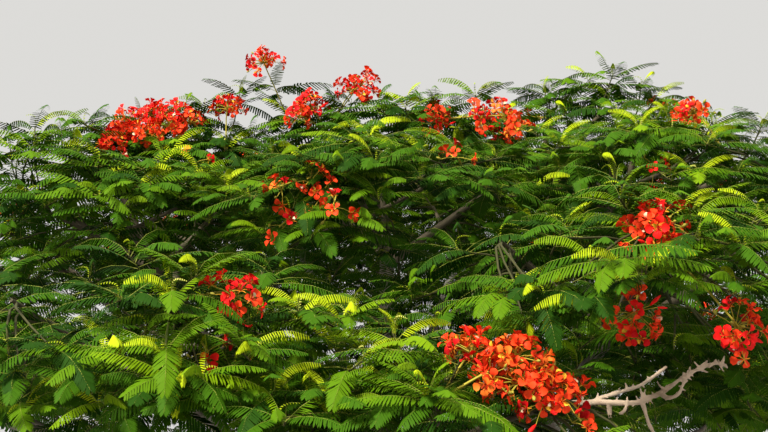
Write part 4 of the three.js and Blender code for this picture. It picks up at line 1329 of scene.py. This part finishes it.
def leaf_shapes():
    """All leaf shapes, first with the finer pinnae and then with the plainer ones."""
    tree = leaf_tree()
    shapes = []
    for label, outline, pairs, stalk_points in LEAF_MAKES:
        pinna = pinna_object(f"{label}_pinna", outline)
        for k, (length, rise, droop, sweep, pinna_length, width, hang, share) in enumerate(SHAPES):
            shapes.append(
                made_by(
                    tree,
                    mesh_object("leaf_base", [], []),
                    f"shape_{len(shapes):02d}",
                    First_Handle=(FIRST_HANDLE_AT * length, 0.0, rise),
                    Last_Handle=(LAST_HANDLE_AT * length, HANDLE_SWEEP * sweep, rise - HANDLE_DROOP * droop),
                    Tip=(TIP_AT * length, sweep, -droop),
                    Stalk_Points=stalk_points,
                    Stalk_Radius=STALK_RADIUS,
                    Bare_Share=BARE_SHARE,
                    Pairs=round(pairs * share),
                    Pinna=pinna,
                    Pinna_Length=pinna_length,
                    Pinna_Width=width,
                    Base_Angle=math.radians(PINNA_ANGLES[0]),
                    Tip_Angle=math.radians(PINNA_ANGLES[1]),
                    Hang=math.radians(hang),
                    Looseness=PINNA_LOOSENESS,
                    Seed=SHAPE_SEED_STEP * k + SHAPE_SEED,
                    Stalk_Material=stalk_finish,
                    Blade_Material=leaf_tints[2],
                )
            )
        bpy.data.objects.remove(pinna)
    return gathered("leaf shapes", shapes)


def finish_piece(piece, slot, *nodes):
    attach(piece, "root")
    if nodes:
        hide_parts(*nodes)


def set_out(tree, name, rows, shapes, tints, *nodes):
    """A foliage piece of shapes on points: each row is a place, a turn, a size, a shape and a tint."""
    base = mesh_object(f"{name}_points", [row[0] for row in rows], [])
    for label, kind, field, values in (
        ("turn", "FLOAT_VECTOR", "vector", [x for row in rows for x in row[1]]),
        ("size", "FLOAT", "value", [row[2] for row in rows]),
        ("shape", "INT", "value", [row[3] for row in rows]),
        ("tint", "FLOAT", "value", [row[4] for row in rows]),
    ):
        base.data.attributes.new(label, kind, "POINT").data.foreach_set(field, values)
    inputs = {f"Tint_{k}": material for k, material in enumerate(tints)}
    piece = made_by(tree, base, name, Pieces=shapes, **inputs)
    for label in ("turn", "size", "shape", "tint", "keeps_material"):
        attribute = piece.data.attributes.get(label)
        if attribute:
            piece.data.attributes.remove(attribute)
    finish_piece(piece, "foliage", *nodes)


def arc(points):
    """Points along the smooth bend that three points give."""
    a, b, c = points
    return [a * (1 - t) ** 2 + b * 2 * t * (1 - t) + c * t * t for t in even_steps(SHOOT_STEPS)]


def twig_piece(name, slot, lines, sides, finish):
    """Round twigs along lines of points, each with its radii."""
    data = bpy.data.curves.new(f"{name}_lines", "CURVE")
    data.dimensions = "3D"
    for points, radii in lines:
        spline = data.splines.new("POLY")
        spline.points.add(len(points) - 1)
        for spot, point, radius in zip(spline.points, points, radii):
            spot.co = (*point, 1)
            spot.radius = radius
    finish_piece(made_by(twigs_along, in_scene(data.name, data), name, Sides=sides, Bark=finish), slot)


# Growing

masses = lay_out_masses()
limbs = lay_out_limbs(masses)
dead_lines = [[Vector(point) for point in points] for _, _, points in DEAD_BRANCHES]
dead_lines[0].insert(0, limbs["apron"].line(DEAD_AT))
dead_stretches = [(a, b, DEAD_RADIUS) for a, b in zip(dead_lines[0], dead_lines[0][1:])]
limb_stretches = [stretch for limb in limbs.values() for stretch in limb.stretches] + dead_stretches
for mass in masses:
    others = [other for other in masses if other is not mass]
    stems = [(other.foot, other.foot + other.arriving * STEM_LENGTH, BOUGH_TIP_RADIUS) for other in others]
    mass.obstacles = Stretches(limb_stretches + stems)
    random = seeded(mass.seed)
    mass.twigs = grow_twigs(mass, 360 * random())
    mass.heads = grow_heads(mass, random)

# What leaves leave open: blossom and the dead bough to the eye, the sun on it, and recesses,
# in front of which the sprays that are left get painted shade
seen = []
for mass in masses:
    for head in mass.heads if mass.name in HEADS else ():
        radius = SEEN_RADIUS if head.fullness > SEEN_LITTLE else SEEN_LITTLE_RADIUS
        seen.append((head.hub, radius, SEEN_SHARE))
dead_seen = []
for line, first in zip(dead_lines, DEAD_SEEN_FROM):
    for i in range(DEAD_SEEN_STEPS):
        dead_seen.append((smooth_line(line, within((first, 1), i / DEAD_SEEN_STEPS)), DEAD_SEEN_RADIUS, 1))
bare_sights = Sights([row for row in dead_seen if row[0].x > BARE_FROM], FRONT)
recesses = Sights([(Vector(place), radius, share) for *place, radius, share in RECESSES], FRONT)
sunlit = [(place, radius, SUNLIT_SHARE) for place, radius, _ in dead_seen]
sights = (Sights(seen + dead_seen, FRONT), Sights(sunlit, FROM_SUN))
for mass in masses:
    random = seeded(mass.seed + FINER_SEED)
    shoots = out_of_recesses(grow_shoots(mass, random), recesses, seeded(mass.seed + RECESS_SEED))
    mass.leaves = []
    mass.shoots = [shoot for shoot in shoots if grow_rosette(mass, shoot, sights, random)]
    for head in mass.heads:
        way = (head.hub - head.foot).normalized()
        tall = dome_units(head.hub - mass.centre).length > TALL_HEAD * mass.scale
        for at in UNDER_HEAD_AT if tall else UNDER_HEAD_AT[:1]:
            under = make_shoot([head.foot.lerp(head.hub, at)], way, UNDER_HEAD_FRESHNESS, 1, known=True)
            grow_rosette(mass, under, sights, random, UNDER_HEAD_YOUNGEST, LEAVES_UNDER_HEAD)


# Trunk and boughs


def bark_skin():
    """Trunk, boughs and stems grown together."""
    vertices, faces = [], []
    low = -BELOW_GROUND / TRUNK_HEIGHT
    heights = [within((low, 1), share) for share in even_steps(TRUNK_RINGS)]
    line = [trunk_line(t) for t in heights]
    tube(line, lambda i, turn: trunk_radius(heights[i] * TRUNK_HEIGHT, turn), TRUNK_SIDES, vertices, faces)
    steps = even_steps(LIMB_RINGS)
    for mass in masses:
        limb = mass.limb
        length = sum((b - a).length for a, b, _ in limb.stretches)

        def radius(i, turn):
            if i > LIMB_RINGS:
                return MAIN_RADIUS
            return limb.radius(steps[i]) * (1 + COLLAR * math.exp(-steps[i] * length / COLLAR_LENGTH / 2))

        tube([limb.line(t) for t in steps] + [mass.hub], radius, LIMB_SIDES, vertices, faces)
    skin = grown_together("bark_rough", vertices, faces, VOXEL)
    smooth = skin.modifiers.new("smooth", "SMOOTH")
    smooth.iterations = SMOOTHINGS
    smooth.factor = 0.5
    return skin


def cut_at_ground(work):
    """Everything under the ground goes, and the cut is closed flat."""
    geometry = work.verts[:] + work.edges[:] + work.faces[:]
    cut = bmesh.ops.bisect_plane(work, geom=geometry, plane_co=(0, 0, 0), plane_no=UP, clear_inner=True)
    rim = [item for item in cut["geom_cut"] if isinstance(item, bmesh.types.BMEdge)]
    bmesh.ops.contextual_create(work, geom=rim)


def dead_skin():
    """The bare limb with its branches and knobs."""
    random = seeded(DEAD_SEED)
    vertices, faces = [], []
    steps = even_steps(DEAD_STEPS)
    for points, (*radii, _) in zip(dead_lines, DEAD_BRANCHES):
        taper = DEAD_TAPER if points is dead_lines[0] else 1
        line = [smooth_line(points, t) for t in steps]
        tube(line, lambda i, turn: within(radii, steps[i] ** taper), DEAD_SIDES, vertices, faces)
    for i in range(KNOBS):
        line = dead_lines[KNOBBED[i % len(KNOBBED)]]
        foot = smooth_line(line, within((KNOBS_FROM[line is not dead_lines[0]], 1), random()))
        way = slope(360 * random(), within(KNOB_RISE_RANGE, random()))
        tip = foot + way * (DEAD_BRANCHES[0][1] + within(KNOB_LENGTH_RANGE, random() ** 2))
        knob = [foot, foot.lerp(tip, KNOB_MIDDLE), tip]
        tube(knob, lambda i, turn: KNOB_RADIUS * KNOB_TAPER[i], KNOB_SIDES, vertices, faces)
    return grown_together("dead_rough", vertices, faces, DEAD_VOXEL)


relief = relief_tree()
bark_relief = {"Swell": 0.022, "Swell_Scale": 4.0, "Grain": 0.008, "Grain_Scale": 22.0}
bark = made_by(relief, bark_skin(), "bark", Bark=bark_finish, **bark_relief)
rework(bark, cut_at_ground)
finish_piece(bark, "bark", "trunk", *[f"bough_{mass.name}" for mass in masses])
dead_relief = {"Swell": 0.014, "Swell_Scale": 14.0, "Grain": 0.006, "Grain_Scale": 70.0}
dead_limb = made_by(relief, dead_skin(), "dead_limb", Bark=dead_finish, **dead_relief)
finish_piece(dead_limb, "dead_wood", "dead_bough")


# Twigs and leaves

twig_lines, shoot_lines, pedicels = [], [], []
shoot_radii = [within((SHOOT_RADIUS, SHOOT_TIP_RADIUS), share) for share in even_steps(SHOOT_STEPS)]
for mass in masses:
    twig_lines += [
        ([twig.start, twig.end], [twig.radius, TWIG_TIP_SHARE * twig.radius]) for twig in mass.twigs
    ]
    shoot_lines += [(arc(shoot.points), shoot_radii) for shoot in mass.shoots]
    for head in mass.heads:
        out = heading(mass.turn) * HEAD_STALK_BOW * (head.hub - head.foot).length
        middle = head.foot.lerp(head.hub, 0.5) + (UP * HEAD_STALK_RISE + out)
        pedicels.append((arc([head.foot, middle, head.hub]), HEAD_STALK_RADII))

twigs_along = twig_tree()
twig_piece("twigs", "bark", twig_lines, TWIG_SIDES, twig_finish)
twig_piece("shoots", "foliage", shoot_lines, SHOOT_SIDES, shoot_finish)
leaf_kinds = leaf_shapes()
leaves_set_out = setting_tree("leaves on shoots", len(LEAF_COLOURS))
by_name = {mass.name: mass for mass in masses}
for name, members in LEAF_PIECES.items():
    rows = [row for member in members for row in by_name[member].leaves]
    set_out(leaves_set_out, name, rows, leaf_kinds, leaf_tints, *[f"foliage_{member}" for member in members])


# Blossom


def add_blade(vertices, faces, kinds, kind, outline, size, turn, lift, twist, cup):
    """Add a petal or sepal that stands out from the flower's middle at a turn and a lift."""
    first = len(vertices)
    length, width = size
    out = heading(turn)
    level, up = radians_way(lift)
    along = out * level + UP * up
    top = UP * level - out * up
    flat, twisted = radians_way(twist)
    across = heading(turn + 90) * flat + top * twisted
    for x, half, height in outline:
        middle = along * x * length + top * height * length
        aside = across * half * width / 2
        lifted = top * cup * half * width / 2
        vertices.append(middle - aside + lifted)
        if cup:
            vertices.append(middle)
        vertices.append(middle + aside + lifted)
    row = 3 if cup else 2
    for i in range(len(outline) - 1):
        for k in range(row - 1):
            a = first + row * i + k
            faces.append((a, a + row, a + row + 1, a + 1))
            kinds.append(kind)


def keep_materials(piece, keeps):
    """Mark the faces that keep their own material when the tints are dealt out."""
    piece.data.attributes.new("keeps_material", "FLOAT", "FACE").data.foreach_set("value", keeps)


def flower_object(name, seed, standard):
    """One open flower that faces +Z: four spoon petals, an upright standard, sepals and stamens."""
    random = seeded(seed)
    vertices, faces, kinds = [], [], []
    lists = (vertices, faces, kinds)
    for k in range(PETALS):
        turn = 90 + 360 / PETALS * k + spread(PETAL_TURN_SPREAD, random)
        lift = PETAL_LIFT + spread(PETAL_LIFT_SPREAD, random)
        size = more_than(*PETAL_SIZE, random())
        twist = spread(PETAL_TWIST_SPREAD, random)
        if k:
            size = (PETAL_LENGTH * size, PETAL_WIDTH * size)
            add_blade(*lists, PETAL, PETAL_OUTLINE, size, turn, lift, twist, PETAL_CUP)
        else:
            kind = STANDARD if standard else PETAL
            size = (STANDARD_SHARES[0] * PETAL_LENGTH, STANDARD_SHARES[1] * PETAL_WIDTH)
            add_blade(*lists, kind, PETAL_OUTLINE, size, turn, STANDARD_LIFT, twist, STANDARD_CUP)
        add_blade(*lists, SEPAL, SEPAL_OUTLINE, SEPAL_SIZE, turn + SEPAL_TURN, SEPAL_LIFT, 0, 0)
    for k in range(STAMENS):
        turn = 360 * k / STAMENS + STAMEN_TURN_SPREAD * random()
        way = slope(turn, more_than(*STAMEN_RISE, random()))
        side = way.cross(UP).normalized() * STAMEN_RADIUS
        base = len(vertices)
        tip = way * more_than(*STAMEN_LENGTH, random())
        vertices += [side, -side, tip + side, tip - side]
        faces.append((base, base + 1, base + 3, base + 2))
        kinds.append(STAMEN)
    finishes = (petal_tints[0], standard or petal_tints[0], sepal_finish, stamen_finish)
    flower = mesh_object(name, vertices, faces, finishes, smooth=True)
    flower.data.polygons.foreach_set("material_index", kinds)
    keep_materials(flower, [0.0 if kind == PETAL else 1.0 for kind in kinds])
    rework(flower, lambda work: bmesh.ops.remove_doubles(work, verts=work.verts, dist=1e-6))
    return flower


def bud_object(name, finish, stretch):
    """A closed bud along +Z."""
    vertices, faces = [], []
    tube([UP * h * stretch for h in BUD_HEIGHTS], lambda i, turn: BUD_RADII[i], BUD_SIDES, vertices, faces)
    bud = mesh_object(name, vertices, faces, (finish,), smooth=True)
    keep_materials(bud, [1.0] * len(faces))
    return bud


def set_out_head(head, random, rows, pedicels):
    """Flowers over a domed head, buds at its crown, and the pedicels that carry them."""
    face = head.face
    first_turn = 360 * random()
    base = head.hub - face.facing * HEAD_SINK
    buds = math.ceil(head.fullness / FLOWERS_PER_BUD)
    for k in range(head.fullness + buds):
        is_bud = k % BUD_EVERY == 2 and k < BUD_EVERY * buds
        place = (k + 0.5) / (head.fullness + buds)
        level, up = radians_way(90 - HEAD_SPAN * math.sqrt(place) - spread(HEAD_LIFT_SPREAD, random))
        turn = first_turn + GOLDEN_TURN * k + HEAD_TURN_SPREAD * random()
        way = spoke(face, turn) * level + face.facing * up
        reach = more_than(*HEAD_REACH, place) * more_than(*PEDICEL_REACH, random())
        spot = base + way * reach - UP * HEAD_SAG * place
        if bare_sights.are_hidden_by(spot, 0):
            continue
        pedicels.append(([base, base.lerp(spot, 0.5) + UP * PEDICEL_BOW, spot], PEDICEL_RADII))
        loose = Vector([random() - middle for middle in LOOSE_MIDDLE]) * FLOWER_LOOSENESS
        turn = turned_round((way + loose).normalized(), 360 * random())
        dice = random()
        if is_bud:
            rows.append((spot, turn, more_than(*BUD_SIZE, dice), k // BUD_EVERY % 2, 0))
        else:
            orange = min(int(dice * THROW_TINTS + head.tone * HEAD_TINTS), CRIMSON_AND_SHADE_TINT - 1)
            # The dark crimson tint: partly the petals' own colour, partly painted shade
            tint = CRIMSON_AND_SHADE_TINT if dice > more_than(*CRIMSON_AND_SHADE_ABOVE, head.tone) else orange
            shape = 2 + int(dice * SHAPE_DICE) % FLOWER_SHAPES
            rows.append((spot, turn, more_than(*FLOWER_SIZE, random()), shape, tint))


def turned_round(facing, turn):
    """Euler turns that take +Z to a facing, after a turn round it."""
    return (UP.rotation_difference(facing) @ Quaternion(UP, math.radians(turn))).to_euler()


buds = [bud_object("bud_closed", bud_finish, 1), bud_object("bud_opening", petal_tints[0], OPENING_STRETCH)]
standards = (cream_finish, yellow_finish, None, None)
opened = [flower_object(f"flower_{k + 1}", FLOWER_SEED + k, standards[k]) for k in range(FLOWER_SHAPES)]
flower_kinds = gathered("flower shapes", buds + opened)
rows = []
for mass in masses:
    random = seeded(mass.seed + BLOSSOM_SEED)
    for head in mass.heads:
        set_out_head(head, random, rows, pedicels)
set_out(setting_tree("flowers on heads", len(PETAL_COLOURS)), "blossom", rows, flower_kinds, petal_tints)
twig_piece("pedicels", "foliage", pedicels, SHOOT_SIDES, pedicel_finish)

for collection in (leaf_kinds, flower_kinds):
    for shape in list(collection.objects):
        bpy.data.objects.remove(shape)
    bpy.data.collections.remove(collection)


# Floor, light and camera

half = FLOOR_SIZE / 2
corners = [(-half, -half, 0), (half, -half, 0), (half, half, 0), (-half, half, 0)]
pale = plain_material("pale_floor", (0.26, 0.26, 0.265), roughness=0.9, gloss=0.5)
floor = mesh_object("floor", corners, [(0, 1, 2, 3)], (pale,))

world = bpy.data.worlds.new("pale studio")
world.use_nodes = True
backdrop = world.node_tree.nodes["Background"].inputs
backdrop["Color"].default_value = (1.0, 0.99, 0.96, 1)
backdrop["Strength"].default_value = 0.72
bpy.context.scene.world = world

key = bpy.data.lights.new("key", "SUN")
key.energy = 7.0
key.angle = math.radians(12)
key.color = (1.0, 0.95, 0.83)
in_scene("key", key).rotation_euler = SUN_WAY.to_track_quat("-Z", "Y").to_euler()

camera = in_scene("camera", bpy.data.cameras.new("camera"))
camera.location = CAMERA_PLACE
camera.rotation_euler = (math.radians(90 + CAMERA_TILT), 0, 0)
camera.data.lens = CAMERA_LENS
camera.data.sensor_width = CAMERA_SENSOR
camera.data.clip_end = 200
bpy.context.scene.camera = camera
bpy.context.scene.view_settings.view_transform = "Standard"
